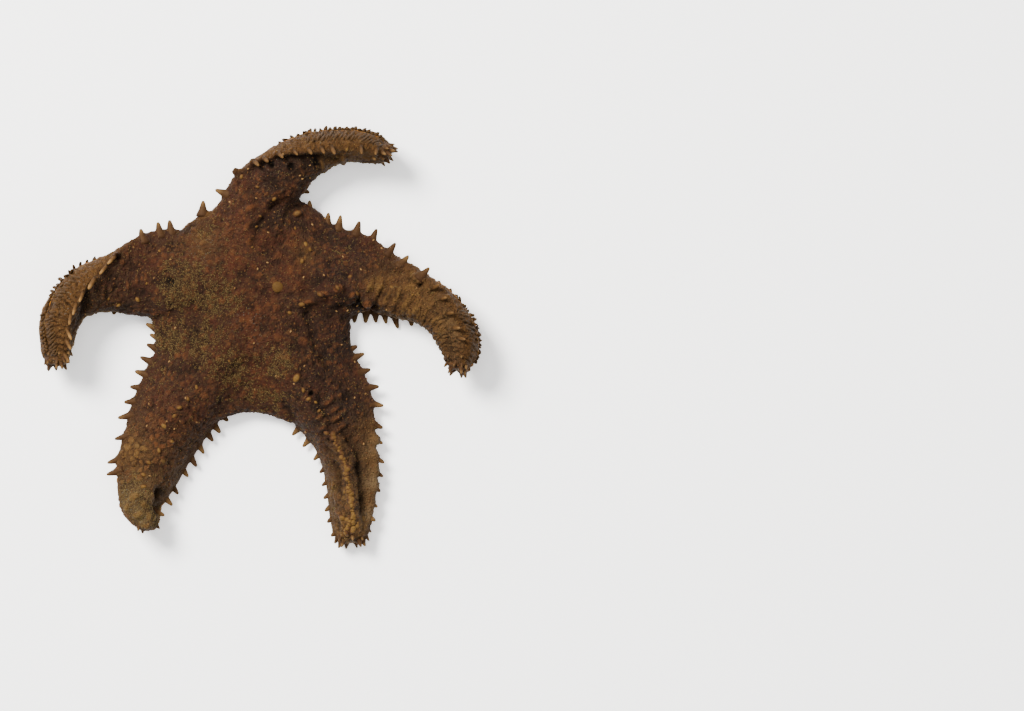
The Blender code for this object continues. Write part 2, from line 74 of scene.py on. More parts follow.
sheet_mesh = bpy.data.meshes.new("sheet")
sheet_mesh.from_pydata([(-3, -3, 0), (3, -3, 0), (3, 3, 0), (-3, 3, 0)], [], [(0, 1, 2, 3)])
pale, pale_surface = dull_material("pale sheet", 0.9, 0.1)
pale_surface.inputs["Base Color"].default_value = (0.94, 0.94, 0.935, 1.0)
pale_surface.inputs["Emission Color"].default_value = (1.0, 1.0, 1.0, 1.0)
pale_surface.inputs["Emission Strength"].default_value = 0.35
sheet_mesh.materials.append(pale)
sheet = add_object("sheet", sheet_mesh)

for name, place, size, watts, colour in (
        ("key light", (-0.60, 0.60, 1.10), 0.50, 78.0, (1.0, 0.98, 0.95)),
        ("fill light", (0.9, -0.6, 1.1), 1.2, 9.0, (0.97, 0.98, 1.0)),
        ("top light", (0.05, 0.1, 1.5), 1.0, 14.0, (1.0, 1.0, 1.0))):
    light_data = bpy.data.lights.new(name, "AREA")
    light_data.size = size
    light_data.energy = watts
    light_data.color = colour
    light = add_object(name, light_data)
    light.location = place
    light.rotation_euler = (-Vector(place)).to_track_quat("-Z", "Y").to_euler()

world = bpy.data.worlds.new("studio")
world.use_nodes = True
world.node_tree.nodes["Background"].inputs["Color"].default_value = (1.0, 1.0, 1.0, 1.0)
world.node_tree.nodes["Background"].inputs["Strength"].default_value = 0.50
bpy.context.scene.world = world

camera_data = bpy.data.cameras.new("camera")
camera_data.lens = LENS
camera_data.sensor_width = SENSOR
camera_data.clip_start = 0.05
camera = add_object("camera", camera_data)
camera_height = PICTURE_WIDTH * LENS / SENSOR
camera.location = (MOUTH_PLACE + PICTURE_MIDDLE + (0.0, 0.0, camera_height)) * MM
bpy.context.scene.camera = camera


# The body: disc and five arms under one dry skin, tight over a net of small limy plates.
# It is lofted along the course of each arm, fused with the disc, slit open below along the
# grooves and at the mouth, and then wrinkled. Measures are millimetres from the mouth.

# Stations: x, y, z, half width, turn, keel height, depth of the underside, keel and groove offset.
ARM_STATIONS = {
    "arm_1": (
        (-0.4, 10, 3.4, 13, 0, 11, 1.6, -0.05, 0),
        (-0.4, 20, 4, 13, -8, 11, 1.8, -0.15, 0),
        (1.2, 29, 5.4, 10.6, -28, 10.4, 2.8, -0.20, 0),
        (8.4, 35.4, 8.8, 10.5, -55, 7.9, 7.9, -0.10, 0),
        (16.5, 40.6, 9.8, 9.3, -81, 6, 7.9, 0, 0),
        (25, 43.4, 11.2, 8.2, -98, 5, 5.9, 0, 0),
        (33.5, 43.9, 12.3, 7.2, -106, 5.9, 4.1, 0, 0),
        (39.8, 41.5, 13.2, 5.2, -106, 4.4, 2.2, 0, 0),
    ),
    "arm_2": (
        (9.6, 3.6, 3.4, 13, 0, 11, 1.6, -0.10, 0),
        (19.8, 6.4, 4, 13.4, -4, 11, 1.8, -0.30, 0),
        (29.4, 6.4, 4.3, 12.4, -10, 10.4, 2.4, -0.40, 0.05),
        (38.2, 4, 4.5, 9.3, -25, 9, 3.4, -0.38, 0.12),
        (46.2, 0.5, 6.9, 9.4, -45, 7, 4.8, -0.20, 0.10),
        (53.3, -2.9, 9, 8.8, -65, 7.4, 5.6, -0.05, 0),
        (58, -8.4, 10.6, 8.2, -86, 7.1, 6.5, 0, 0),
        (60.7, -14.9, 12, 7.2, -90, 6.9, 5.6, 0, 0),
        (59.9, -21.8, 13.2, 5.2, -92, 4.7, 3.4, 0, 0),
    ),
    "arm_3": (
        (6.2, -7.8, 3.4, 13, 0, 11, 1.6, -0.10, 0),
        (12.2, -16.2, 3.8, 13, 0, 11, 1.8, -0.25, 0),
        (18.4, -24.6, 3.4, 13.2, -3, 10.4, 2.4, -0.32, 0),
        (23.4, -33.8, 3.2, 12, -5, 9.3, 3, -0.30, 0.05),
        (26.3, -43, 3.2, 9.1, -7, 8.2, 3.4, -0.22, 0.12),
        (27.8, -53, 3.3, 7.7, -8, 7.2, 3.5, -0.08, 0.16),
        (27.9, -63, 3.8, 6.6, -8, 6.3, 3.5, 0.05, 0.20),
        (28.3, -72, 5, 5.4, -8, 4.6, 3, 0.10, 0.10),
    ),
    "arm_4": (
        (-6.2, -7.8, 3.4, 13, 0, 11, 1.6, 0.10, 0),
        (-12.4, -16.2, 3.8, 13.4, 2, 11, 1.8, 0.22, 0),
        (-18, -24.4, 3.5, 13.8, 3, 10.4, 2.4, 0.24, 0),
        (-23.6, -33.4, 3.3, 12.6, 5, 9.4, 3, 0.14, 0),
        (-27.8, -42.2, 3.6, 11.2, 8, 8.4, 3.5, 0.10, -0.10),
        (-31, -51.2, 4.8, 9.6, 14, 7.4, 3.6, 0.05, -0.20),
        (-32.8, -60, 7.6, 7.2, 25, 6.2, 3.5, 0, -0.10),
        (-30.6, -67.8, 11.6, 3.9, 34, 4, 2.8, 0, 0),
    ),
    "arm_5": (
        (-9.6, 3.2, 3.4, 13, 0, 11, 1.6, 0.10, 0),
        (-19.4, 6.2, 4, 13.2, 6, 11, 1.8, 0.30, 0),
        (-29.2, 6.5, 4.8, 13.1, 16, 10.4, 2.6, 0.42, -0.12),
        (-38.2, 4.8, 7.4, 11.4, 41, 8.3, 5.3, 0.34, -0.16),
        (-45.8, 2.3, 9.6, 10, 76, 7.4, 8.8, 0.10, 0),
        (-52.2, -2.1, 11, 8.8, 98, 5.7, 8.1, 0, 0),
        (-56.5, -7.4, 11.8, 7.8, 116, 5.8, 6, 0, 0),
        (-57.3, -13.7, 12.4, 7, 124, 5.2, 4.4, 0, 0),
        (-57.2, -20.2, 13, 5.2, 128, 3.6, 3, 0, 0),
    ),
}
# Over what length the tip of an arm rounds off, and by how much it closes.
TIP_ROUND = 5.0
TIP_CLOSING = 0.6
# How steep the flanks of an arm are at the disc and far out, and from where on.
FLANK_AT_ROOT = 1.1
FLANK_FAR_OUT = 2.3
FLANK_SETTLED = 45.0
# Where the loft of an arm starts inside the disc, its pace, and where its close rings begin.
LOFT_START = 8.0
LOFT_PACE = 0.9
LOFT_END = 3.0
# The outline of the disc between the arms: angle in degrees, reach.
WEB_EDGE = (
    (15, 30), (40, 30), (59, 31), (66, 30.2), (76, 27), (92, 29), (105, 30), (117, 27.8), (134, 28.7),
    (165, 30), (190, 30.5), (201, 31.2), (211, 33), (233, 30), (249, 34.6), (254.5, 37.4), (257.4, 36),
    (260.2, 34.8), (265, 34), (270, 33.8), (275, 34.4), (279.8, 35.5), (282.6, 36.8), (285.5, 38.6),
    (290, 38.2), (307, 30), (330, 32.4), (337, 30), (345, 28.4),
)
# The disc: height of its middle and of its edge, above and below, and how full its dome is.
DISC_TOP = 14.0
WEB_EDGE_TOP = 6.4
DOME_FULLNESS = 2.5
ORAL_FACE = 1.9
WEB_EDGE_BOTTOM = 1.2
# How far from the mouth the top of the fused shape is smoothed, over what width that fades out,
# how many times, and by what share each time.
SMOOTHED_REACH = 37.0
SMOOTHED_FADE = 9.0
SMOOTHINGS = 60
SMOOTHING_SHARE = 0.6
# Grain of the skin when the lofts are fused, and after the grooves and the mouth are cut.
FIRST_VOXEL = 0.6
VOXEL = 0.52
# Where the grooves gape: arm, first and last place along it, half the width of the slit.
GROOVE_GAPES = (
    ("arm_1", 26, 50, 0.75), ("arm_2", 13, 42, 1.05), ("arm_3", 14, 32, 0.95),
    ("arm_3", 32, 52, 0.6), ("arm_5", 12, 17, 0.8), ("arm_5", 22, 33, 0.95),
    ("arm_5", 35, 52, 0.8),
)
GAPE_FADE = 2.5
# Half the width of a groove elsewhere, the pace of its rings, and how far from the mouth and
# from the tip of the arm it starts and ends.
GROOVE_HALF = 0.52
GROOVE_PACE = 0.8
GROOVE_START = 1.0
GROOVE_END = 4.0
# The mouth: radius, heights and shares of it, and the way in degrees that one of its lobes points.
MOUTH_RADIUS = 3.4
MOUTH_PROFILE = ((-2.0, 1.1), (1.0, 1.0), (4.0, 0.8), (8.0, 0.5))
MOUTH_LOBE = 92


def station_slopes(places, values):
    """Slopes that carry a curve through stations at uneven places."""
    steps = np.diff(places)
    rates = np.diff(values, axis=0) / steps[:, None]
    inner = (rates[:-1] * steps[1:, None] + rates[1:] * steps[:-1, None])
    inner = inner / (steps[:-1] + steps[1:])[:, None]
    return np.concatenate((rates[:1], inner, rates[-1:]))


def unit(vector):
    """The same direction, with a length of 1."""
    return vector / np.linalg.norm(vector)


class ArmCourse:
    """The line that one arm follows, with its widths and directions every half millimetre."""

    def __init__(self, name):
        self.name = name
        first = ARM_STATIONS[name][0]
        values = np.array(((0.0, 0.0) + first[2:],) + ARM_STATIONS[name], dtype=float)
        knots = np.concatenate(((0.0,), np.cumsum(np.linalg.norm(np.diff(values[:, :3], axis=0), axis=1))))
        rates = station_slopes(knots, values)
        self.length = float(knots[-1])
        self.places = np.linspace(0.0, self.length, int(self.length / 0.5) + 1)
        index = np.clip(np.searchsorted(knots, self.places) - 1, 0, len(knots) - 2)
        step = (knots[index + 1] - knots[index])[:, None]
        t = ((self.places - knots[index])[:, None]) / step
        fields = (1 + 2 * t) * (1 - t) ** 2 * values[index] + t * (1 - t) ** 2 * step * rates[index]
        fields += t * t * (3 - 2 * t) * values[index + 1] + t * t * (t - 1) * step * rates[index + 1]
        middle = fields[:, :3]
        way = np.gradient(middle, self.places, axis=0)
        way /= np.linalg.norm(way, axis=1)[:, None]
        left = np.stack((-way[:, 1], way[:, 0], np.zeros(len(way))), axis=1)
        left /= np.linalg.norm(left, axis=1)[:, None]
        up = np.cross(way, left)
        turn = np.radians(fields[:, 4])[:, None]
        top = up * np.cos(turn) + left * np.sin(turn)
        side = left * np.cos(turn) - up * np.sin(turn)
        into_tip = np.clip((self.places - self.length + TIP_ROUND) / TIP_ROUND, 0.0, 1.0)
        shrink = np.sqrt(np.clip(1.0 - TIP_CLOSING * into_tip ** 2.4, 0.0, 1.0))
        sizes = fields[:, [3, 5, 6]] * shrink[:, None]
        self.table = np.concatenate((middle, way, side, top, sizes, fields[:, 7:9]), axis=1)

    def at(self, place):
        """Middle, way, side, top, half width, keel height, depth, keel offset, groove offset."""
        row = np.array([np.interp(place, self.places, column) for column in self.table.T])
        return [row[0:3]] + [unit(row[start:start + 3]) for start in (3, 6, 9)] + list(row[12:17])

    def ring(self, place):
        """The outline across the arm, from the left edge over the keel and back below."""
        middle, way, side, top, half, crest, belly, crest_off, groove_off = self.at(place)
        settled = min(1.0, place / FLANK_SETTLED)
        flank = FLANK_AT_ROOT + (FLANK_FAR_OUT - FLANK_AT_ROOT) * settled
        angles = np.linspace(0.0, math.pi, 33)
        rise = np.clip(np.sin(angles), 0.0, 1.0)
        across = list(half * np.cos(angles) + crest_off * half * rise ** 2)
        height = list(crest * rise ** flank)
        scale = min(1.0, half / 9.0)
        groove = groove_off * half
        lower = (
            (-0.93 * half, 0.38), (-0.66 * half, 0.66), (groove - 3.4 * scale, 0.80),
            (groove - 2.4 * scale, 0.86), (groove - 0.9 * scale, 0.84), (groove, 0.70),
            (groove + 0.9 * scale, 0.84), (groove + 2.4 * scale, 0.86), (groove + 3.4 * scale, 0.80),
            (0.66 * half, 0.66), (0.93 * half, 0.38),
        )
        across += [pair[0] for pair in lower]
        height += [-belly * pair[1] for pair in lower]
        ring = middle + np.outer(across, side) + np.outer(height, top)
        ring[:, 2] = np.maximum(ring[:, 2], 0.05)
        return ring


def slit_half(arm, place):
    """Half the width of the groove of an arm, wider where it gapes."""
    width = GROOVE_HALF
    for name, first, last, gape in GROOVE_GAPES:
        if name == arm.name and first < place < last:
            width = max(width, gape * min(1.0, (place - first) / GAPE_FADE, (last - place) / GAPE_FADE))
    return width


def skin_tube(shape, rings):
    """Join rings of points into one closed tube."""
    loops = [[shape.verts.new(point) for point in ring] for ring in rings]
    for near, far in zip(loops, loops[1:]):
        for index in range(len(near)):
            after = (index + 1) % len(near)
            shape.faces.new((near[index], near[after], far[after], far[index]))
    shape.faces.new(loops[0])
    shape.faces.new(loops[-1])


def placed_mesh(name, shape):
    """Turn a mesh in millimetres from the mouth into an object in its place."""
    bmesh.ops.recalc_face_normals(shape, faces=shape.faces)
    for vertex in shape.verts:
        vertex.co = (vertex.co + Vector(MOUTH_PLACE)) * MM
    mesh = bpy.data.meshes.new(name)
    shape.to_mesh(mesh)
    shape.free()
    return add_object(name, mesh)


def apply_modifiers(target):
    """Make what the modifiers show the object's own mesh."""
    graph = bpy.context.evaluated_depsgraph_get()
    made = bpy.data.meshes.new_from_object(target.evaluated_get(graph))
    target.modifiers.clear()
    target.data = made


def remesh(target, size):
    """Fuse everything in a mesh into one even skin."""
    modifier = target.modifiers.new("fuse", "REMESH")
    modifier.mode = "VOXEL"
    modifier.voxel_size = size * MM
    apply_modifiers(target)


# Tips of the spines along the margins, in plan: those that stand out level, and, with their side
# (1 left of the way outwards, -1 right), those on edges that are turned up or down. Some of
# these lean over the face of the arm, in a direction given by shares along the arm and to its left.
LEVEL_TIPS = {
    "arm_1": ((-11, 30.7), (15.5, 30.3)),
    "arm_2": (
        (16, 27.5), (16.8, 25.2), (21.5, 23.8), (25, 23), (30.5, 21.4), (35.5, 19.2), (41, 15.2),
        (44.8, 11.4), (50.8, 7.8), (29, -7.6), (32.2, -7.4), (35.2, -7.6), (38.2, -8), (41.5, -9),
    ),
    "arm_3": (
        (29.5, -14.8), (31.5, -17), (33.5, -21.5), (35.8, -26.5), (37.3, -32), (37.2, -38.5),
        (37.2, -43), (37.4, -48.5), (37, -52.5), (36.5, -57), (35.6, -61.5), (35, -65.5),
        (11, -40.5), (14, -44), (17.2, -47.8), (19, -51.5), (19.8, -55.2), (20.2, -59),
        (20.6, -62.6), (21.2, -66), (22.6, -69.8),
    ),
    "arm_4": (
        (-31.4, -8.3), (-30.2, -11.4), (-31.3, -14.2), (-33, -18), (-34.8, -22), (-36.2, -26.5),
        (-38, -31), (-39.4, -35.5), (-40.2, -41.6), (-42.6, -48.6), (-42.8, -52), (-8, -36.5),
        (-10.5, -39.6), (-12.5, -42.2), (-15, -46), (-17.4, -49.4), (-19.8, -52.6), (-22.8, -57.4),
        (-24.4, -60.8), (-26.6, -63.8),
    ),
    "arm_5": ((-15, 27.5), (-24.7, 21.6), (-28, 21), (-32.9, 19.2)),
}
TURNED_TIPS = (
    ("arm_1", 1, (0.2, -0.9), (
        (-3, 34), (1, 37.5), (4, 39), (8, 40.5), (12.5, 41), (16.5, 42), (20, 43), (23, 43.3), (27.3, 42.5),
        (31.5, 42.5), (35.5, 41.5))),
    ("arm_1", -1, None, (
        (17, 34), (20, 36), (22, 39), (24.5, 42), (27, 44.5), (30, 45.5), (33, 46.3), (36, 45.5))),
    ("arm_2", 1, (0.4, 0.8), (
        (53, 3), (54.8, -1), (56.6, -5.3), (58.7, -9.4), (59.8, -12.5), (62.2, -15.5), (61.5, -19))),
    ("arm_2", -1, None, (
        (45.5, -6.5), (48.5, -5.8), (51.6, -6.8), (54.2, -8.6), (56.5, -10.5), (58.8, -13), (60.2, -16.5))),
    ("arm_5", -1, (0.75, 0.45), (
        (-40.2, 10.3), (-43.5, 8), (-46.5, 4.5), (-49.3, 0), (-50.7, -3.5), (-51.7, -6.5), (-53.3, -10.5),
        (-54, -13.5), (-54.6, -17))),
    ("arm_5", 1, None, (
        (-41, -3), (-44.5, -3), (-47.5, -3.2), (-51, -3.6), (-54.5, -4.6), (-57.5, -6), (-60, -9),
        (-61, -12.8), (-61, -16.5))),
)
SPINE_REACH = 3.1
SPINE_SUNK = 1.2
# How far back along the arm a level spine starts, and where along the arm that grows.
LEAN_AT_ROOT = 0.7
LEAN_FAR_OUT = 3.0
LEAN_FROM = 34.0
LEAN_OVER = 14.0
# The swollen base of a spine: share of its length, radius.
BASE_PROFILE = ((-0.25, 1.8), (0.15, 1.8), (0.34, 1.35), (0.52, 0.95), (0.72, 0.6))


def edge_spot(arm, side_signs, tip):
    """The place along an arm, and its side, whose edge lies nearest to a spine's tip in plan."""
    best = (1e9, 0.0, 1)
    for place in np.arange(17.0, arm.length, 0.4):
        middle, way, side, top, half = arm.at(place)[:5]
        for side_sign in side_signs:
            apart = np.hypot(*((middle + side * side_sign * half)[:2] - tip))
            best = min(best, (apart, place, side_sign))
    return best[1], best[2]


arms = {name: ArmCourse(name) for name in ARM_STATIONS}
margin_spines = []
for name, tips in LEVEL_TIPS.items():
    for tip in tips:
        place, side_sign = edge_spot(arms[name], (1, -1), tip)
        middle, way, side, top, half = arms[name].at(place)[:5]
        edge = middle + side * side_sign * half
        level_side = unit(side * (side_sign, side_sign, 0.0))
        point = np.array((tip[0], tip[1], max(1.0, edge[2] + 0.5)))
        far_out = min(1.0, max(0.0, (place - LEAN_FROM) / LEAN_OVER))
        lean_back = LEAN_AT_ROOT + (LEAN_FAR_OUT - LEAN_AT_ROOT) * far_out
        root = point - level_side * (SPINE_REACH + SPINE_SUNK) - way * (1.0, 1.0, 0.0) * lean_back
        root[2] = max(1.6, edge[2] + 0.3)
        margin_spines.append((root, point, way, False))
for name, side_sign, lying, tips in TURNED_TIPS:
    for tip in tips:
        place = edge_spot(arms[name], (side_sign,), tip)[0]
        middle, way, side, top, half = arms[name].at(place)[:5]
        edge = middle + side * side_sign * (half - 0.4)
        outward = side * side_sign + top * 0.30 + way * 0.30
        if lying:
            along, left = lying
            outward = np.array((way[0] * along - way[1] * left, way[1] * along + way[0] * left, -0.12))
        outward = unit(outward)
        point = edge + outward * SPINE_REACH * 0.86
        point[2] = max(point[2], 0.6)
        margin_spines.append((edge - outward * SPINE_SUNK, point, way, bool(lying)))

# The bases of the spines, the arms and the disc are fused, and the top of the disc is eased.
body_shape = bmesh.new()
for root, point, arm_way, lying in margin_spines:
    way = Vector(point - root)
    beside = way.normalized().cross(Vector(arm_way)).normalized()
    across = beside.cross(way.normalized())
    base_rings = []
    flare = 0.6 if lying else 1.0
    for share, radius in BASE_PROFILE:
        ring = []
        for step in range(10):
            angle = 2 * math.pi * step / 10
            spread = across * (1.2 * math.cos(angle)) + beside * (0.75 * math.sin(angle))
            sag = across * 0.35 * (1.0 - share)
            ring.append(Vector(root) + way * share + spread * radius * flare - sag)
            ring[-1].z = max(ring[-1].z, 0.1)
        base_rings.append(ring)
    skin_tube(body_shape, base_rings)
for arm in arms.values():
    last_loft = arm.length - LOFT_END
    stops = [*np.arange(LOFT_START, last_loft, LOFT_PACE), *np.linspace(last_loft, arm.length, 9)]
    skin_tube(body_shape, [arm.ring(place) for place in stops])
web_angles, web_reaches = zip(*WEB_EDGE)
disc_rings = []
for share, face in [(s, 1) for s in np.linspace(0.08, 1.0, 16)] + [(s, -1) for s in (1.0, 0.8, 0.5, 0.1)]:
    ring = []
    for step in range(120):
        angle = 3.0 * step
        reach = float(np.interp(angle, web_angles, web_reaches, period=360.0)) * share
        if face > 0:
            height = WEB_EDGE_TOP + (DISC_TOP - WEB_EDGE_TOP) * (1 - share ** DOME_FULLNESS)
        else:
            height = ORAL_FACE + (WEB_EDGE_BOTTOM - ORAL_FACE) * share ** 3
        ring.append((reach * math.cos(math.radians(angle)), reach * math.sin(math.radians(angle)), height))
    disc_rings.append(ring)
skin_tube(body_shape, disc_rings)
body = placed_mesh("body", body_shape)
remesh(body, FIRST_VOXEL)
settling = body.vertex_groups.new(name="settling")
for vertex in body.data.vertices:
    reach = math.hypot(*(vertex.co.xy / MM - Vector(MOUTH_PLACE[:2])))
    share = max(0.0, min(1.0, (SMOOTHED_REACH - reach) / SMOOTHED_FADE))
    settling.add([vertex.index], share * max(0.0, min(1.0, 2.0 * vertex.normal.z)), "REPLACE")
ease = body.modifiers.new("ease", "SMOOTH")
ease.iterations = SMOOTHINGS
ease.factor = SMOOTHING_SHARE
ease.vertex_group = "settling"
apply_modifiers(body)
body.vertex_groups.clear()

# The grooves and the mouth are cut out of it.
slit_shape = bmesh.new()
for arm in arms.values():
    rings = []
    for place in np.arange(GROOVE_START, arm.length - GROOVE_END, GROOVE_PACE):
        middle, way, side, top, half, crest, belly, crest_off, groove_off = arm.at(place)
        width = slit_half(arm, place)
        width *= 1.0 + 0.35 * noise.noise(Vector((place * 0.45, len(rings) * 0.01, half)))
        centre = middle + side * (groove_off * half)
        low = centre - top * (belly + 2.5)
        high = centre - top * (belly - min(3.4, 0.42 * (belly + crest)))
        ring = [low - side * width * 1.35, low + side * width * 1.35, high + side * width * 0.7]
        ring.append(high - side * width * 0.7)
        rings.append(ring)
    skin_tube(slit_shape, rings)
slits = placed_mesh("slits", slit_shape)
mouth_shape = bmesh.new()
mouth_rings = []
for height, share in MOUTH_PROFILE:
    ring = []
    for step in range(60):
        angle = math.radians(6.0 * step)
        lobes = 1.0 + 0.2 * math.cos(5 * (angle - math.radians(MOUTH_LOBE)))
        radius = MOUTH_RADIUS * share * lobes
        ring.append((radius * math.cos(angle), radius * math.sin(angle), height))
    mouth_rings.append(ring)
skin_tube(mouth_shape, mouth_rings)
mouth = placed_mesh("mouth", mouth_shape)
for cutter in (slits, mouth):
    cut = body.modifiers.new("cut", "BOOLEAN")
    cut.operation = "DIFFERENCE"
    cut.solver = "EXACT" if cutter is slits else "MANIFOLD"
    cut.object = cutter
    apply_modifiers(body)
    bpy.data.objects.remove(cutter)
remesh(body, VOXEL)


# How many points are measured against an arm at once.
BLOCK = 20000


def nearest_arm(points):
    """For points: arm number, place along it, across, rise, half width, depth below, distance."""
    best = None
    for number, arm in enumerate(arms.values()):
        middles = arm.table[:, :3]
        distance = np.empty(len(points))
        index = np.empty(len(points), dtype=int)
        for start in range(0, len(points), BLOCK):
            block = slice(start, start + BLOCK)
            apart = ((points[block, None, :] - middles[None, :, :]) ** 2).sum(axis=2)
            index[block] = apart.argmin(axis=1)
            distance[block] = apart.min(axis=1)
        rows = arm.table[index]
        offset = points - rows[:, :3]
        across = (offset * rows[:, 6:9]).sum(axis=1)
        rise = (offset * rows[:, 9:12]).sum(axis=1)
        found = np.stack((np.full(len(points), number), arm.places[index], across, rise,
                          rows[:, 12], rows[:, 14], distance), axis=1)
        best = found if best is None else np.where((distance < best[:, -1])[:, None], found, best)
    return best.T


def smoothstep(low, high, values):
    """A soft step from 0 at low to 1 at high."""
    share = np.clip((values - low) / (high - low), 0.0, 1.0)
    return share * share * (3 - 2 * share)


def distance_in_plan(points, line):
    """Distance in plan from points to a line of points, and how far along it they are, 0 to 1."""
    line = np.array(line, dtype=float)
    nearest = np.full(len(points), 1e9)
    along = np.zeros(len(points))
    for number, (start, end) in enumerate(zip(line, line[1:])):
        way = end - start
        share = np.clip(((points[:, :2] - start) @ way) / (way @ way), 0.0, 1.0)
        apart = np.linalg.norm(points[:, :2] - (start + share[:, None] * way), axis=1)
        closer = apart < nearest
        nearest = np.where(closer, apart, nearest)
        along = np.where(closer, (number + share) / (len(line) - 1), along)
    return nearest, along


# Folds of the dried skin: side (1 above, -1 below), depth, half width, course in plan.
FOLDS = (
    (1, 1.5, 1.1, ((0, 12), (0.4, 16), (1.6, 21), (6, 26), (11, 28.3))),
    (1, 0.8, 1.6, ((1.5, 21), (0.5, 28), (-3, 33))),
    (1, 1.7, 1, ((-3, 34.8), (2, 37.4), (6.4, 39.4), (12, 39.2), (18.6, 39.4), (24, 39.8))),
    (1, 1.7, 1, ((-38.9, 11.1), (-42, 8.8), (-45.3, 6.2), (-47, 2.1), (-48.4, -3.2), (-49.8, -8))),
    (1, -0.8, 1.1, ((-38, 13.4), (-41.5, 11.6), (-45, 9), (-48.2, 5.6), (-50, 1))),
    (1, 1.9, 0.6, ((30.8, 0.4), (30.4, -1.8), (31.6, -3.8), (33.8, -4.5), (35.6, -3.4), (34.6, -1.6))),
    (1, 1.5, 1.2, ((23, -36), (27, -41), (30.5, -46), (31.6, -56), (32.4, -68))),
    (1, -1, 1.3, ((20, -37), (24, -43.5), (27, -50), (28.2, -57), (29.2, -64), (29.6, -68))),
    (1, -1.1, 1.4, ((36, -36), (35.2, -44), (35, -52), (34.6, -60), (33.4, -67))),
    (1, 1.1, 1.2, ((19, -42.5), (22.5, -46.5), (24.5, -53), (25.5, -62))),
    (1, 0.9, 1.5, ((14, 10), (15.5, 2), (16, -8), (20, -18), (26, -28))),
    (1, 0.9, 1.2, ((22, -4.5), (28, -3.2), (33.5, -3.5))),
    (1, 2.2, 1, ((-27, -55), (-27.8, -59), (-27.6, -64))),
    (1, -0.9, 1.6, ((10, -2), (14.5, -2.5), (19, 0), (25, 1.8), (32.5, -1))),
    (1, -0.8, 1.6, ((9, -15), (12.5, -24), (15.5, -29), (19, -34))),
    (1, -0.8, 1.6, ((-14, -22), (-19, -30), (-23.5, -36), (-27.5, -45))),
    (1, 0.7, 1.3, ((18, -27), (22, -34), (23, -42))),
    (1, 0.6, 1.6, ((-12, -8), (-15, -16), (-19, -26))),
    (1, 0.6, 1.5, ((14, 24), (19, 18), (27, 15), (38, 12))),
    (-1, 0.8, 2.6, ((-13, 4), (-16, 12), (-16, 19))),
    (-1, 0.8, 2.6, ((6, 14), (10, 20), (12, 26))),
    (-1, 0.9, 3, ((14, -3), (20, -8), (26, -11))),
    (-1, 0.9, 3, ((0, -15), (0, -22), (0.5, -29))),
    (-1, 0.8, 3, ((-14, -3), (-20, -6), (-27, -9))),
)
# Rounded lumps that the skin covers: x, y, half length, half width, height, turn in plan.
LUMPS = (
    (-34.5, -58.5, 2, 1.4, 0.7, 30), (-31.8, -60.6, 1.8, 1.2, 0.7, -40), (-36.6, -61.4, 1.5, 1, 0.7, 70),
    (-33.4, -63.6, 1.8, 1.1, 0.8, 20), (-30.4, -64.2, 1.3, 0.9, 0.6, 80), (-31.4, -66.8, 1.4, 1, 0.7, 10),
    (32.6, -2.2, 1.8, 1.5, 1.6, 20), (24.5, 2, 1.7, 1.3, 1.1, 10), (28.4, 0.4, 1.3, 0.9, 0.9, 30),
    (20.5, 0.8, 1.6, 0.8, 0.8, 0), (16, -1.6, 1.4, 0.9, 0.8, 20), (13, 24, 1.5, 1.1, 0.9, 30),
    (15.6, 13, 1.6, 0.8, 0.7, 55), (17.4, 12, 1.4, 0.6, 0.6, 55), (14.6, 10.4, 1.4, 0.7, 0.6, 60),
)
# Ridges across the arms, in the same measures.
RIDGES = (
    (33.6, 3, 3, 0.9, 0.5, 60), (36.2, 1.6, 3.4, 0.9, 0.6, 62), (38.6, -0.6, 3.6, 1, 0.7, 60),
    (41.4, -0.8, 3.4, 1, 0.7, 58), (44.3, -2.4, 3.2, 1, 0.6, 56), (47.2, -3.8, 3, 0.9, 0.6, 52),
    (50.4, -4.6, 2.6, 0.9, 0.5, 46), (53, -7, 2.4, 0.9, 0.4, 35), (55, -10, 2.4, 0.9, 0.4, 20),
    (23.9, -26.9, 1.5, 0.7, 0.6, 38), (24.7, -28.9, 1.5, 0.7, 0.6, 38), (21.4, -31.1, 1.9, 0.8, 0.9, 36),
    (23.2, -33.2, 2, 0.8, 0.9, 38), (23.9, -35.5, 2.2, 0.8, 0.9, 36), (25.3, -38.3, 2.2, 0.8, 0.9, 40),
    (27, -41.1, 2, 0.7, 0.7, 30), (19, -35, 1.8, 0.7, 0.5, 40), (20, -38.2, 1.6, 0.7, 0.5, 44),
    (-17.3, -33, 1.5, 0.6, 0.7, -45), (-17.3, -36, 2.6, 0.7, 0.7, -42), (-20.3, -37.4, 1.9, 0.7, 0.7, -60),
    (-22.4, -38.4, 1.6, 0.6, 0.6, -58), (-21.7, -40.3, 1.3, 0.6, 0.6, -60),
    (-24, -42.5, 1.5, 0.6, 0.7, -60), (-36.6, 3, 2.2, 0.7, 0.5, 100), (-34, 4.5, 2.2, 0.7, 0.4, 95),
    (-31.4, 5.4, 2.2, 0.7, 0.4, 92), (-2, 20, 1.6, 0.9, 0.5, 60), (-1, 25.5, 1.8, 0.9, 0.6, 40),
    (7, 30, 1.8, 0.8, 0.6, 20), (14, 36.6, 2, 0.8, 0.7, -70), (20, 38, 1.8, 0.8, 0.7, -80),
    (26, 39.4, 1.6, 0.8, 0.6, 90),
)
# How large the small plates are that show through the skin.
PLATE_SIZE = 1.75
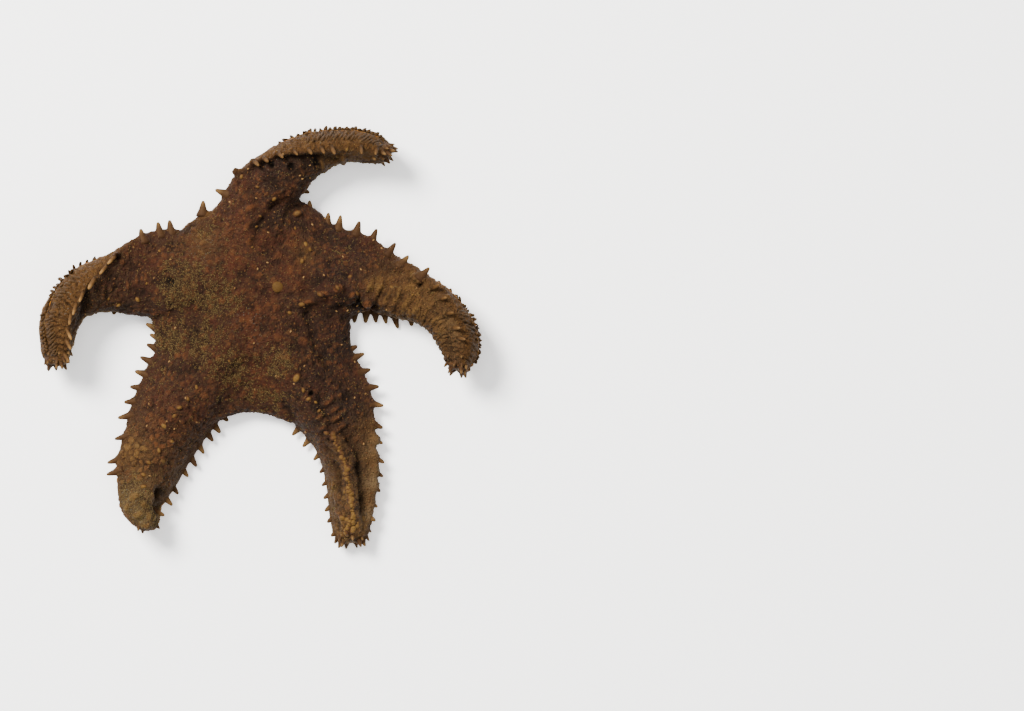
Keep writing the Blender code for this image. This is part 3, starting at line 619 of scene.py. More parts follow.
# Small round holes: side, middle in plan, radius, depth.
HOLES = (
    (1, -39, 11, 0.75, 2.2), (1, 48, 2.8, 0.5, 1.6), (1, 34.2, -3.6, 0.8, 1.8), (1, -24, 4, 1.1, 0.8),
    (1, 16.8, -28.4, 0.7, 1.2), (1, 22, -42, 0.6, 1), (1, 11, 37, 1, 0.9), (1, 18.4, 37.8, 0.9, 0.9),
    (1, 5.2, 37.6, 0.9, 0.8), (-1, 0, -13, 0.5, 1.4), (-1, 61, -16, 0.7, 1.4), (-1, -13, -3.5, 0.5, 1.2),
    (-1, -31.8, 7.2, 0.6, 1.4),
)
# Patches of colour, each with its middle in plan, reach and strength. On the upper side khaki
# granules crowd in these.
KHAKI_PATCHES = (
    (-20, 3, 8, 1), (-12, 0, 9, 0.8), (-24, -12, 6, 0.9), (-14, -14, 8, 0.8), (-6, -22, 8, 0.78),
    (8, -19, 5, 0.85), (3, -30, 7, 0.62), (-14, 22, 6, 0.42), (-36, -59, 6, 1.3), (-32, -65, 5, 1.3),
    (27, 12, 6, 0.25), (-28, -24, 6, 0.35),
)
# Patches of the lower side: cream granules and dark stains.
CREAM_PATCHES = (
    (-24, -16, 8, 0.9), (-18, -24, 6, 0.7), (-2, -22, 9, 0.55), (27, 16, 9, 0.7), (-29, -54, 8, 1),
    (24, -14, 7, 0.5), (10, 30, 6, 0.7), (-8, 27, 7, 0.45), (-58, -14, 7, 0.8), (31, 41, 8, 0.8),
    (12, -28, 8, 0.4),
)
DARK_PATCHES = (
    (-19, -4, 7, 1), (4, -22, 8, 1), (20, -14, 7, 0.9), (8, 17, 5, 0.9), (-8, 21, 5, 0.6), (22, -2, 6, 0.6),
    (14, -31, 6, 0.9), (10, 29, 4, 0.8), (-19, -32, 5, 0.6), (-36, 3, 7, 0.5),
)
# Patches of the upper side: dark maroon, red-orange, golden olive and sand. The dark maroon
# patches along the folds of the first and the fifth arm are painted shade; the others are the skin's colour.
DUSKY_AND_FOLD_SHADE_PATCHES = (
    (24, -14, 9, 1), (20, -27, 8, 0.9), (27, -33, 6, 1), (24, 6, 8, 0.85), (30, -3, 5, 0.8),
    (-34, 4, 8, 0.45), (5, 32, 6, 0.6), (16, -38, 6, 0.7), (7, 22, 4, 0.6), (-24, 4, 1.8, 1.2),
    (30, -50, 3, 0.5), (9, 37, 6, 1), (2, 35.6, 4, 0.9), (17, 38.2, 4, 0.9), (-47, 2, 2.5, 0.9),
    (-44, 7, 2, 0.9), (-20, -29, 5, 0.3), (22, 18, 7, 0.75), (28, 13, 6, 0.75), (0, 27, 5, 0.45),
    (-30, 8, 6, 0.35), (14, -6, 5, 0.40),
)
RUST_PATCHES = (
    (0, -6, 7, 0.6), (-1, -20, 6, 0.6), (-3, 17, 6, 0.5), (2, -28, 5, 0.5), (-9, -25, 5, 0.6),
    (13, 5, 4, 0.7), (-2, 26, 5, 0.5), (-24, -37, 6, 0.7), (10, 15, 4, 0.5), (-33, 8, 6, 0.4),
    (-8, 8, 5, 0.5), (30, -20, 4, 0.5), (-27, -46, 5, 0.6),
)
TANNED_PATCHES = (
    (47, 0, 9, 1), (37, 3, 5, 0.8), (57, -10, 8, 1), (-36, -46, 7, 0.65), (35.5, -42, 3.5, 1),
    (35.5, -52, 3.5, 1), (35, -62, 3.5, 1), (28, -58, 4, 0.8), (28, -69, 6, 1), (22, -56, 4, 0.6),
    (-16, 16, 6, 0.45), (15, 12, 4, 0.4), (23, 39.5, 5, 0.8), (31, 40, 6, 1), (26.5, -50, 3, 0.9),
    (25, -44, 2.5, 0.6), (-33, -60, 7, 0.8), (31, -47, 2.5, 0.5), (35.5, -47, 4, 1), (35.5, -57, 4, 1),
    (34.5, -66, 4, 1), (32, -38, 4, 0.6),
)
# Sand colour: at the arm tips the skin's pale colour; on the right flank of the third arm partly painted
# light on a flank turned away from the key light.
SANDY_AND_PAINTED_LIGHT_PATCHES = (
    (-35, -60, 5, 1), (-31.5, -66, 4, 1), (-57.5, -18.5, 3, 0.5), (35, -44, 3.5, 0.4),
    (34.6, -54, 3.5, 0.55), (34, -64, 3.5, 0.5), (60, -9, 5, 0.35), (22, -60, 3.5, 0.25),
)
# Where low plates pave the upper side.
PAVED_PATCHES = (
    (-36, -47, 7, 0.8), (-30, -42, 6, 0.6), (24, -60, 5, 0.4), (28, -69, 5, 0.5),
)
# White salt on the upper side, and bright gold on the lower side.
SALTED_PATCHES = (
    (-1, -7, 4, 1), (1, -13, 3, 0.7), (-52, 1, 9, 0.8), (-15, 13, 6, 0.45), (4, 39, 7, 0.6),
    (-36, -58, 6, 1), (-33, -64, 5, 1), (31, -64, 5, 0.35), (40, 4, 6, 0.3), (18, 44, 6, 0.4),
)
GOLD_PATCHES = ((-17, 16, 5, 1), (18, 20, 3.5, 1), (0, -9, 3.5, 0.7))
# Ribs across the outer arms: how far apart, how high.
RIB_PITCH = 1.8
RIB_HEIGHT = 0.16
# How many seeds the small plates are drawn from, and how near two may lie, in plate sizes.
SEED_COUNT = 9000
SEEDS_APART = 0.68
# How often the border between the upper and the lower side is softened.
BELOW_SMOOTHING = 6
# How near a spine the skin starts to be calm, and over what length it calms down.
CALM_FROM = 3.0
CALM_FADE = 1.2
# Where along an arm its outer look begins, and from where on it is in full.
OUTER_FROM = 34.0
OUTER_FULL = 62.0


def read_vectors(target, name):
    """One vector for each point of a mesh."""
    flat = np.empty(3 * len(target.data.vertices))
    target.data.vertices.foreach_get(name, flat)
    return flat.reshape(-1, 3)


count = len(body.data.vertices)
points = read_vectors(body, "co") / MM - MOUTH_PLACE
normals = read_vectors(body, "normal")
number, place, across, rise, half, belly = nearest_arm(points)[:6]
# Which points belong to the lower side, with a soft border that follows the skin.
below = 1.0 - smoothstep(-0.9, 0.7, rise)
ends = np.empty(2 * len(body.data.edges), dtype=np.int32)
body.data.edges.foreach_get("vertices", ends)
starts = np.concatenate((ends[0::2], ends[1::2]))
stops = np.concatenate((ends[1::2], ends[0::2]))
for step in range(BELOW_SMOOTHING):
    total = np.bincount(starts, weights=below[stops], minlength=count)
    below = (below + total) / (1.0 + np.bincount(starts, minlength=count))
above = 1.0 - below
outer_share = smoothstep(OUTER_FROM, OUTER_FULL, place)
edge_share = np.clip(np.abs(across) / half, 0.0, 1.5)
inside_slit = np.zeros(count)
for index, arm in enumerate(arms.values()):
    groove = np.interp(place, arm.places, arm.table[:, 16] * arm.table[:, 12])
    from_groove = np.abs(across - groove)
    into = (number == index) * (1.0 - smoothstep(0.8, 1.5, from_groove)) * below
    inside_slit = np.maximum(inside_slit, into * smoothstep(-0.80, -0.55, rise / np.maximum(belly, 1.0)))
from_mouth = np.linalg.norm(points[:, :2], axis=1)
in_mouth = (1.0 - smoothstep(3.0, 4.6, from_mouth)) * below * (points[:, 2] > 2.2)
inside_slit = np.maximum(inside_slit, in_mouth)


def patch_mask(patches):
    """How strongly the named patches colour each point."""
    mask = np.zeros(count)
    for x, y, reach, strength in patches:
        apart = np.hypot(points[:, 0] - x, points[:, 1] - y)
        mask = np.maximum(mask, strength * np.exp(-(apart / reach) ** 2))
    return mask


def search_tree(places):
    """A tree that finds the nearest of some places."""
    tree = KDTree(len(places))
    for order, spot in enumerate(places):
        tree.insert(spot, order)
    tree.balance()
    return tree


spine_roots = search_tree([root + (point - root) * 0.3 * step
                           for root, point, arm_way, lying in margin_spines for step in range(3)])
# The small plates under the skin lie round seeds that keep their distance from each other.
seeds = random.Random(23).sample(range(count), SEED_COUNT)
seed_places = search_tree(points[seeds])
crowded_out = np.zeros(len(seeds), dtype=bool)
plates = []
for order, index in enumerate(seeds):
    if not crowded_out[order]:
        plates.append(index)
        for neighbour in seed_places.find_range(points[index], SEEDS_APART * PLATE_SIZE):
            crowded_out[neighbour[1]] = True
plate_places = search_tree(points[plates])
tone_draw = random.Random(24)
plate_tones = [tone_draw.random() for index in plates]
# Wrinkles and ripples, calm round the spines; torn and flecked noise for the patches; plates.
lift, ragged, flecked, calm, plate_top, plate_tone = np.zeros((6, count))
for index in range(count):
    x, y, z = points[index]
    folded = noise.ridged_multi_fractal(Vector((x * 0.17, y * 0.17, z * 0.22)), 1.0, 2.1, 4, 1.0, 2.0)
    ripple = noise.noise(Vector((x * 0.75, y * 0.75, z * 0.9)))
    course = Vector((place[index] * 0.9, across[index] * 0.28, 7.0 * number[index] + rise[index] * 0.25))
    along = noise.noise(course)
    grain = noise.noise(Vector((x * 1.5, y * 1.5, z * 1.5)))
    upper = 0.36 * (folded - 1.1) + 0.26 * ripple + 0.20 * along + 0.14 * grain
    lower = 0.22 * (folded - 1.1) + 0.22 * ripple + 0.20 * along + 0.12 * grain
    near_spine = (CALM_FROM - spine_roots.find((x, y, z))[2]) / CALM_FADE
    calm[index] = 1.0 - 0.85 * max(0.0, min(1.0, near_spine))
    lift[index] = (upper * above[index] + lower * below[index]) * calm[index]
    nearest, second = plate_places.find_n((x, y, z), 2)
    plate_top[index] = (second[2] - nearest[2]) / PLATE_SIZE
    plate_tone[index] = plate_tones[nearest[1]]
    ragged[index] = noise.noise(Vector((x * 0.36, y * 0.36, z * 0.36 + 9.0)))
    flecked[index] = noise.noise(Vector((x * 1.1, y * 1.1, z * 1.1 + 3.0)))
plate_top = smoothstep(0.02, 0.42, plate_top + 0.08 * flecked)
paved = np.clip(patch_mask(PAVED_PATCHES) + 0.45 - 0.15 * outer_share, 0.0, 1.0)
paved *= np.maximum(above, 0.6 * smoothstep(0.0, 0.4, normals[:, 2]))
facing_down = smoothstep(0.0, -0.5, normals[:, 2])
paved_below = np.clip(0.30 + 0.5 * ragged + 0.45 * smoothstep(24.0, 46.0, place), 0.0, 1.0)
paved = np.maximum(paved, below * facing_down * paved_below)
lift += paved * (0.50 * plate_top * (0.30 + plate_tone) - 0.22) * calm
ribs = np.sin(place * (2 * math.pi / RIB_PITCH) + 0.5 * across + 5.0 * ragged)
ribs = ribs * smoothstep(OUTER_FROM, 50.0, place) * RIB_HEIGHT
well_ribbed = (number == 1) | ((below > 0.5) & (normals[:, 2] > 0.2))
lift += ribs * (edge_share < 1.0) * np.where(well_ribbed, 1.0, 0.2)
# Folds, lumps, ridges and holes.
depth, lumpy, ridged, pits = np.zeros((4, count))
for side, deep, width, course in FOLDS:
    apart, along = distance_in_plan(points, course)
    fade = np.minimum(1.0, 4.0 * np.minimum(along, 1.0 - along) + 0.15)
    mask = above if side > 0 else below
    depth += deep * np.exp(-(apart / width) ** 2) * fade * mask * (1.0 + 0.9 * ragged)
for x, y, half_length, half_width, height, turn in LUMPS + RIDGES:
    way = np.array((math.cos(math.radians(turn)), math.sin(math.radians(turn))))
    offset = points[:, :2] - (x, y)
    out = np.hypot(offset @ way / half_length, (offset @ (-way[1], way[0])) / half_width)
    bulge = np.exp(-0.9 * out ** 3) * above
    depth -= 1.25 * height * bulge
    if half_length > 2.0 * half_width:
        ridged = np.maximum(ridged, bulge)
        continue
    # Below zero round the foot of a lump: where a painted shadow ring goes.
    foot = np.exp(-((out - 1.45) / 0.25) ** 2)
    lumpy = np.maximum(lumpy, bulge) - 0.5 * foot * above * (lumpy < 0.3)
for side, x, y, radius, deep in HOLES:
    apart = np.hypot(points[:, 0] - x, points[:, 1] - y)
    mask = (above if side > 0 else below) * (normals[:, 2] * side > 0.1)
    pit = (1.0 - smoothstep(0.75 * radius, 1.35 * radius, apart)) * mask
    pits = np.maximum(pits, pit)
    depth += deep * pit
lift *= 1.0 - 0.9 * inside_slit
moved = points + normals * lift[:, None] - normals * depth[:, None]
moved[:, 2] = np.maximum(moved[:, 2], 0.02)
body.data.vertices.foreach_set("co", ((moved + MOUTH_PLACE) * MM).ravel())
body.data.update()


def store(target, name, values):
    """Keep one number per point on a mesh, for its material."""
    layer = target.data.attributes.new(name, "FLOAT", "POINT")
    layer.data.foreach_set("value", np.asarray(values, dtype=np.float32))


def ragged_patches(patches, raggedness):
    """Patches with torn edges."""
    return np.clip(patch_mask(patches) * (1.0 + raggedness * ragged), 0.0, 1.0)


khaki = smoothstep(0.30, 0.75, patch_mask(KHAKI_PATCHES) * above + 0.55 * ragged + 0.50 * flecked) * above
cream = patch_mask(CREAM_PATCHES) * below
skyward = smoothstep(-0.15, 0.35, normals[:, 2])
skin_shares = {
    "below": below,
    "outward": outer_share,
    "skyward": skyward,
    "khaki": khaki,
    "dark_below": patch_mask(DARK_PATCHES) * below,
    "gold_below": patch_mask(GOLD_PATCHES) * below,
    "cream": cream,
    "along": place,
    "ribbed": outer_share * np.maximum(below * skyward, (number == 1) * above),
    "dusky": ragged_patches(DUSKY_AND_FOLD_SHADE_PATCHES, 0.8) * above,
    "rusty": ragged_patches(RUST_PATCHES, 1.2) * above,
    "tanned": ragged_patches(TANNED_PATCHES, 0.5) * above,
    # Lump tops for their golden tone and painted highlight, and below zero round their feet for painted
    # shade.
    "lumpy": lumpy,
    # Sand colour, on the third arm's right flank partly painted light.
    "sandy": ragged_patches(SANDY_AND_PAINTED_LIGHT_PATCHES, 0.7),
    "salted": patch_mask(SALTED_PATCHES) * np.maximum(above, skyward),
    # Plate tops: their paler tone and painted highlight; gaps between the plates: painted shade.
    "plate_light": paved * plate_top * plate_tone,
    "plate_gap": paved * (1.0 - plate_top),
    # Ridge tops, for painted highlight.
    "ridged": ridged,
    # Painted shade in the grooves, the mouth, the holes and the folds.
    "hollow": np.clip(inside_slit + pits + 0.35 * depth, 0.0, 1.0),
    # How high the skin stands: painted highlight on raised skin, painted shade on low skin.
    "raised": np.clip(0.5 + lift, 0.0, 1.0),
}
for name, values in skin_shares.items():
    store(body, name, values)
body.data.shade_smooth()


class Nodes:
    """Short ways to place and join the nodes of a material or a node group."""

    def __init__(self, tree):
        self.tree = tree

    def add(self, kind, settings=(), inputs=()):
        """A node of a kind, its settings, and the values or sockets that feed it."""
        node = self.tree.nodes.new(kind)
        for name, value in dict(settings).items():
            setattr(node, name, value)
        for key, value in dict(inputs).items():
            self.put(node.inputs[key], value)
        return node

    def put(self, socket, value):
        """Join a socket to another, or give it a value."""
        if isinstance(value, bpy.types.NodeSocket):
            self.tree.links.new(value, socket)
        elif socket.type == "RGBA":
            socket.default_value = (*value, 1.0)
        else:
            socket.default_value = value

    def math(self, operation, first, second):
        """One sum of two values."""
        node = self.add("ShaderNodeMath", {"operation": operation}, {0: first, 1: second})
        return node.outputs[0]

    def times(self, first, second):
        """One value times another."""
        return self.math("MULTIPLY", first, second)

    def rest(self, share):
        """What a share leaves of 1."""
        return self.math("SUBTRACT", 1.0, share)

    def mix(self, share, first, second):
        """A blend of two colours."""
        node = self.add("ShaderNodeMix", {"data_type": "RGBA"}, {0: share, 6: first, 7: second})
        return node.outputs[2]

    def lay(self, colour, *layers):
        """Lay colours over a first one in turn, each by its own share."""
        for share, over in layers:
            colour = self.mix(share, colour, over)
        return colour

    def step(self, value, low, high):
        """0 below low, 1 above high, soft between."""
        node = self.add("ShaderNodeMapRange", {"interpolation_type": "SMOOTHSTEP"},
                        {"Value": value, "From Min": low, "From Max": high})
        return node.outputs[0]

    def attribute(self, name):
        """A number kept on the mesh."""
        return self.add("ShaderNodeAttribute", {"attribute_name": name}).outputs["Fac"]

    def noise(self, vector, per_mm, detail=3.0, roughness=0.55):
        """Cloudy noise with so many bumps per millimetre."""
        node = self.add("ShaderNodeTexNoise", (), {
            "Vector": vector, "Scale": per_mm / MM, "Detail": detail, "Roughness": roughness})
        return node.outputs["Fac"]


def dried_grain_group():
    """Fine crazing and grains of dried skin: how high each point stands and where specks lie."""
    tree = bpy.data.node_groups.new("dried grain", "ShaderNodeTree")
    socket = tree.interface.new_socket
    socket("Grain Size", in_out="INPUT", socket_type="NodeSocketFloat").default_value = 0.6
    socket("Speck Size", in_out="INPUT", socket_type="NodeSocketFloat").default_value = 0.3
    for name in ("Height", "Grains", "Specks", "Clouds"):
        socket(name, in_out="OUTPUT", socket_type="NodeSocketFloat")
    build = Nodes(tree)
    given = tree.nodes.new("NodeGroupInput")
    result = tree.nodes.new("NodeGroupOutput")
    where = build.add("ShaderNodeTexCoord").outputs["Object"]
    scale = build.math("DIVIDE", 1.0 / MM, given.outputs["Grain Size"])
    cells = build.add("ShaderNodeTexVoronoi", {"feature": "SMOOTH_F1"}, {
        "Vector": where, "Scale": scale, "Smoothness": 0.25}).outputs["Distance"]
    fine_scale = build.math("DIVIDE", 1.0 / MM, given.outputs["Speck Size"])
    specks = build.add("ShaderNodeTexVoronoi", (), {"Vector": where, "Scale": fine_scale})
    drawn = build.add("ShaderNodeSeparateColor", (), {"Color": specks.outputs["Color"]}).outputs[0]
    lit = build.math("GREATER_THAN", drawn, 0.62)
    round_speck = build.rest(build.step(specks.outputs["Distance"], 0.25, 0.55))
    clouds = build.noise(where, 0.35, 5.0, 0.6)
    rough = build.noise(where, 2.6, 4.0, 0.65)
    grains = build.rest(build.step(cells, 0.15, 0.6))
    height = build.math("ADD", build.times(grains, 0.6), build.times(rough, 0.8))
    build.put(result.inputs["Height"], height)
    build.put(result.inputs["Grains"], grains)
    build.put(result.inputs["Specks"], build.times(lit, round_speck))
    build.put(result.inputs["Clouds"], clouds)
    return tree


DRIED_GRAIN = dried_grain_group()
# Colours of the skin: above, then on the faces that are turned up, then below.
MAROON = (0.0205, 0.0086, 0.0052)
RED_MAROON = (0.031, 0.0096, 0.0052)
DARK_MAROON = (0.0095, 0.0058, 0.0052)
# Near black: painted shade in hollows, furrows, low skin and round lump feet, and in flecks partly dark
# blotches.
NEAR_BLACK = (0.003, 0.002, 0.0016)
DARK_OLIVE = (0.017, 0.0092, 0.004)
OLIVE_BROWN = (0.036, 0.019, 0.008)
GOLDEN_OLIVE = (0.065, 0.031, 0.0098)
RUST = (0.052, 0.0155, 0.0062)
# Painted highlight colours for crests, ridges, lumps and plate tops: rust-red, and golden in tanned patches.
RUSTY_CREST_HIGHLIGHT = (0.068, 0.024, 0.0085)
LUMP_GOLD_HIGHLIGHT = (0.085, 0.044, 0.013)
KHAKI = (0.062, 0.047, 0.018)
SALT = (0.1, 0.088, 0.07)
SANDY = (0.11, 0.076, 0.04)
# Pale khaki for the upper side where it faces down: partly its own colour, partly painted light that offsets
# its shade.
PALE_KHAKI_AND_PAINTED_LIGHT = (0.3, 0.198, 0.08)
UMBER = (0.038, 0.0165, 0.0052)
TAN_BROWN = (0.064, 0.03, 0.0086)
UMBER_STAIN = (0.03, 0.01, 0.0048)
ORANGE_BROWN = (0.175, 0.046, 0.0048)
RED_BROWN = (0.056, 0.0145, 0.0042)
GOLDEN = (0.24, 0.1, 0.012)
BRIGHT_GOLD = (0.44, 0.19, 0.024)
CREAM = (0.28, 0.175, 0.055)

skin, skin_surface = dull_material("dried skin", 0.65, 0.08, (1.0, 0.82, 0.65, 1.0))
build = Nodes(skin.node_tree)
grain = build.add("ShaderNodeGroup", {"node_tree": DRIED_GRAIN}, {"Grain Size": 0.75, "Speck Size": 0.46})
specks = grain.outputs["Specks"]
where = build.add("ShaderNodeTexCoord").outputs["Object"]
patchy = build.noise(where, 0.16, 3.0, 0.6)
mottled = build.noise(where, 0.9, 4.0, 0.7)
fine = build.noise(where, 1.9, 3.0, 0.7)
share = {name: build.attribute(name) for name in skin_shares}
# The painted highlight: rust-red, and golden where the skin is tanned.
crest_highlight_colour = build.mix(build.step(share["tanned"], 0.1, 0.6), RUSTY_CREST_HIGHLIGHT, LUMP_GOLD_HIGHLIGHT)
upper = build.lay(
    MAROON,
    (build.step(patchy, 0.42, 0.66), RED_MAROON),
    (build.step(mottled, 0.50, 0.72), OLIVE_BROWN),
    (build.times(share["rusty"], build.step(mottled, 0.30, 0.62)), RUST),
    (build.times(share["outward"], build.step(mottled, 0.25, 0.6)), OLIVE_BROWN),
    (build.times(share["tanned"], build.step(fine, 0.28, 0.55)), GOLDEN_OLIVE),
    # Dark maroon patches: the skin's colour, and along the folds of the first and fifth arms painted shade.
    (build.times(share["dusky"], build.step(fine, 0.68, 0.40)), DARK_MAROON),
    # Where the upper side of the outer arms faces down it turns pale khaki: partly its own colour, partly
    # painted light that offsets the shade under the turned tips.
    (build.times(share["outward"], build.rest(share["skyward"])),
     build.mix(build.step(fine, 0.35, 0.6), GOLDEN_OLIVE, PALE_KHAKI_AND_PAINTED_LIGHT)),
    # Sand colour, on the third arm's right flank partly painted light on a flank turned away from the key
    # light.
    (build.times(share["sandy"], 0.7), SANDY),
    (build.times(share["khaki"], 0.60), DARK_OLIVE),
    (build.times(build.math("ADD", build.times(share["khaki"], 0.6), 0.28), specks), KHAKI),
    # Plate tops in the highlight colour, partly their own paler tone and partly painted highlight; painted
    # shade in the gaps between them.
    (build.times(build.step(share["plate_light"], 0.1, 0.9), 0.8), crest_highlight_colour),
    (build.times(share["plate_gap"], 0.30), DARK_MAROON),
    # Painted highlight along the tops of the ridges.
    (build.times(build.step(share["ridged"], 0.55, 1.0), 0.6), crest_highlight_colour),
)
dusty = build.step(build.math("ADD", share["cream"], build.times(mottled, 0.45)), 0.45, 1.15)
lower = build.lay(
    ORANGE_BROWN,
    (build.step(grain.outputs["Clouds"], 0.38, 0.62), RED_BROWN),
    (build.times(share["dark_below"], build.step(mottled, 0.2, 0.6)), UMBER_STAIN),
    (build.times(build.step(mottled, 0.46, 0.70), 0.85), RED_BROWN),
    (build.times(share["gold_below"], build.step(mottled, 0.3, 0.6)), BRIGHT_GOLD),
    (build.times(build.step(share["outward"], 0.0, 0.7), 0.8), GOLDEN),
    # Painted shade between the plates below, and their tops paler, partly their own tone and partly painted
    # highlight.
    (build.times(share["plate_gap"], 0.6), RED_BROWN),
    (build.times(build.step(share["plate_light"], 0.15, 0.9), 0.5), GOLDEN),
    (share["skyward"], build.mix(build.step(mottled, 0.3, 0.7), UMBER, TAN_BROWN)),
    (build.times(build.times(dusty, specks), build.rest(share["skyward"])), CREAM),
)
waver = build.times(build.noise(where, 0.22, 3.0), 3.2)
phase = build.math("ADD", build.math("DIVIDE", share["along"], RIB_PITCH), waver)
ribs_seen = build.step(build.math("PINGPONG", phase, 0.5), 0.0, 0.30)
furrows = build.times(build.times(share["ribbed"], build.step(patchy, 0.36, 0.52)), build.rest(ribs_seen))
# Near-black flecks: partly dark blotches of the skin, partly painted shade between its small structures.
blotches_and_shade = build.times(build.step(fine, 0.52, 0.68), 0.55)
# Painted highlight on raised skin.
crest_highlights = build.times(build.step(share["raised"], 0.58, 0.95), build.step(fine, 0.35, 0.6))
colour = build.lay(
    build.mix(share["below"], upper, lower),
    # Near-black flecks, stronger on faces turned up: partly dark blotches, partly painted shade between small
    # structures.
    (build.times(blotches_and_shade, build.math("MAXIMUM", share["skyward"], 0.35)), NEAR_BLACK),
    # Painted shade in the furrows between the ribs.
    (build.times(furrows, 0.4), NEAR_BLACK),
    (build.times(share["salted"], build.times(build.step(fine, 0.50, 0.60), specks)), SALT),
    # Lump tops: their golden tone with painted highlight; round their feet a painted shadow ring.
    (build.times(build.step(share["lumpy"], 0.35, 0.95), 0.8), crest_highlight_colour),
    (build.times(build.step(share["lumpy"], -0.05, -0.5), 0.6), NEAR_BLACK),
    # Painted shade on low skin, then painted highlight on raised skin.
    (build.times(build.step(share["raised"], 0.50, 0.15), 0.55), NEAR_BLACK),
    (build.times(build.times(crest_highlights, build.rest(share["below"])), 0.75), crest_highlight_colour),
    # Painted shade in the grooves, the mouth, the holes and the folds.
    (share["hollow"], NEAR_BLACK),
)
build.put(skin_surface.inputs["Base Color"], colour)
relief = build.math("SUBTRACT", grain.outputs["Height"], build.times(furrows, 1.2))
relief = build.math("SUBTRACT", relief, build.times(fine, 2.2))
bump = build.add("ShaderNodeBump", (), {"Height": relief, "Strength": 1.0, "Distance": 0.36 * MM})
build.put(skin_surface.inputs["Normal"], bump.outputs[0])
body.data.materials.clear()
body.data.materials.append(skin)
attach(body, "root")
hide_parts(*[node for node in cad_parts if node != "madreporite"])


# The free ends of the margin's spines: blunt limy cones, dark at the root and pale where worn.
# Each grows out of the swollen base that the skin makes round it. Those that lean over the faces
# of the turned arms are slim fingers, and a fan of small ones stands round the tip of every arm.
def turned_form(name, profile, sides, flatten=1.0):
    """A little form about the z axis from radii and heights, each 0 to 1, closed at both ends."""
    shape = bmesh.new()
    rings = []
    for radius, height in profile:
        ring = []
        for step in range(sides):
            angle = 2 * math.pi * step / sides
            ring.append((radius * math.cos(angle), radius * math.sin(angle) * flatten, height))
        rings.append(ring)
    skin_tube(shape, rings)
    bmesh.ops.recalc_face_normals(shape, faces=shape.faces)
    bmesh.ops.triangulate(shape, faces=shape.faces)
    mesh = bpy.data.meshes.new(name)
    shape.to_mesh(mesh)
    shape.free()
    mesh.shade_smooth()
    form = bpy.data.objects.new(name, mesh)
    store(form, "tip_share", [vertex.co.z for vertex in mesh.vertices])
    return form


class Tree(Nodes):
    """Short ways to build a Geometry Nodes tree."""

    def __init__(self, name, inputs):
        super().__init__(bpy.data.node_groups.new(name, "GeometryNodeTree"))
        self.tree.interface.new_socket("Geometry", in_out="INPUT", socket_type="NodeSocketGeometry")
        for label, kind in inputs:
            self.tree.interface.new_socket(label, in_out="INPUT", socket_type="NodeSocket" + kind)
        self.tree.interface.new_socket("Geometry", in_out="OUTPUT", socket_type="NodeSocketGeometry")
        self.given = self.tree.nodes.new("NodeGroupInput")
        self.result = self.tree.nodes.new("NodeGroupOutput")

    def named(self, attribute, kind):
        """The values of an attribute."""
        node = self.add("GeometryNodeInputNamedAttribute", {"data_type": kind}, {"Name": attribute})
        return node.outputs[0]

    def finish(self, socket):
        """Realize what the tree made and give it its material."""
        real = self.add("GeometryNodeRealizeInstances", (), {0: socket})
        finished = self.add("GeometryNodeSetMaterial", (), {0: real.outputs[0],
                                                            "Material": self.given.outputs["Material"]})
        self.tree.links.new(finished.outputs[0], self.result.inputs[0])
        return self.tree


def planted_row_tree():
    """Stands a form on every point, along its way, at its own width, breadth and reach."""
    tree = Tree("planted row", (("Form", "Object"), ("Thickness", "Float"), ("Material", "Material")))
    given = tree.given.outputs
    form = tree.add("GeometryNodeObjectInfo", (), {"Object": given["Form"]}).outputs["Geometry"]
    spots = tree.add("GeometryNodeMeshToPoints", (), {0: given["Geometry"]}).outputs[0]
    upright = tree.add("FunctionNodeAlignRotationToVector", {"axis": "Z"},
                       {"Vector": tree.named("way", "FLOAT_VECTOR")}).outputs[0]
    turned = tree.add("FunctionNodeAlignRotationToVector", {"axis": "Y", "pivot_axis": "Z"},
                      {"Rotation": upright, "Vector": tree.named("flat_side", "FLOAT_VECTOR")}).outputs[0]
    thick = tree.add("ShaderNodeCombineXYZ", (), {0: given["Thickness"], 1: given["Thickness"], 2: 1.0})
    size = tree.add("ShaderNodeVectorMath", {"operation": "MULTIPLY"},
                    {0: tree.named("size", "FLOAT_VECTOR"), 1: thick.outputs[0]}).outputs[0]
    planted = tree.add("GeometryNodeInstanceOnPoints", (), {
        "Points": spots, "Instance": form, "Rotation": turned, "Scale": size})
    return tree.finish(planted.outputs[0])


PLANTED_ROW = planted_row_tree()


def grow(target, tree, values):
    """Run a tree on an object with named values, keep what it makes, and take the tree away."""
    modifier = target.modifiers.new("grow", "NODES")
    modifier.node_group = tree
    for item in tree.interface.items_tree:
        if item.in_out == "INPUT" and item.name in values:
            modifier[item.identifier] = values[item.name]
    apply_modifiers(target)


def above_floor(target):
    """Blunt whatever would reach below the surface that the specimen lies on."""
    for vertex in target.data.vertices:
        vertex.co.z = max(vertex.co.z, 0.0)


def plant(name, form, spots, material):
    """One piece of many like forms. A spot is root, way, flat side, width, breadth, reach, tone."""
    mesh = bpy.data.meshes.new(name)
    mesh.from_pydata([tuple((np.array(spot[0]) + MOUTH_PLACE) * MM) for spot in spots], [], [])
    for label, columns, scale in (("way", 1, 1.0), ("flat_side", 2, 1.0), ("size", slice(3, 6), MM)):
        values = np.array([spot[columns] for spot in spots], dtype=np.float32) * scale
        mesh.attributes.new(label, "FLOAT_VECTOR", "POINT").data.foreach_set("vector", values.ravel())
    piece = add_object(name, mesh)
    store(piece, "tone", [spot[6] for spot in spots])
    grow(piece, PLANTED_ROW, {"Form": form, "Thickness": 1.0, "Material": material})
    above_floor(piece)
    return piece


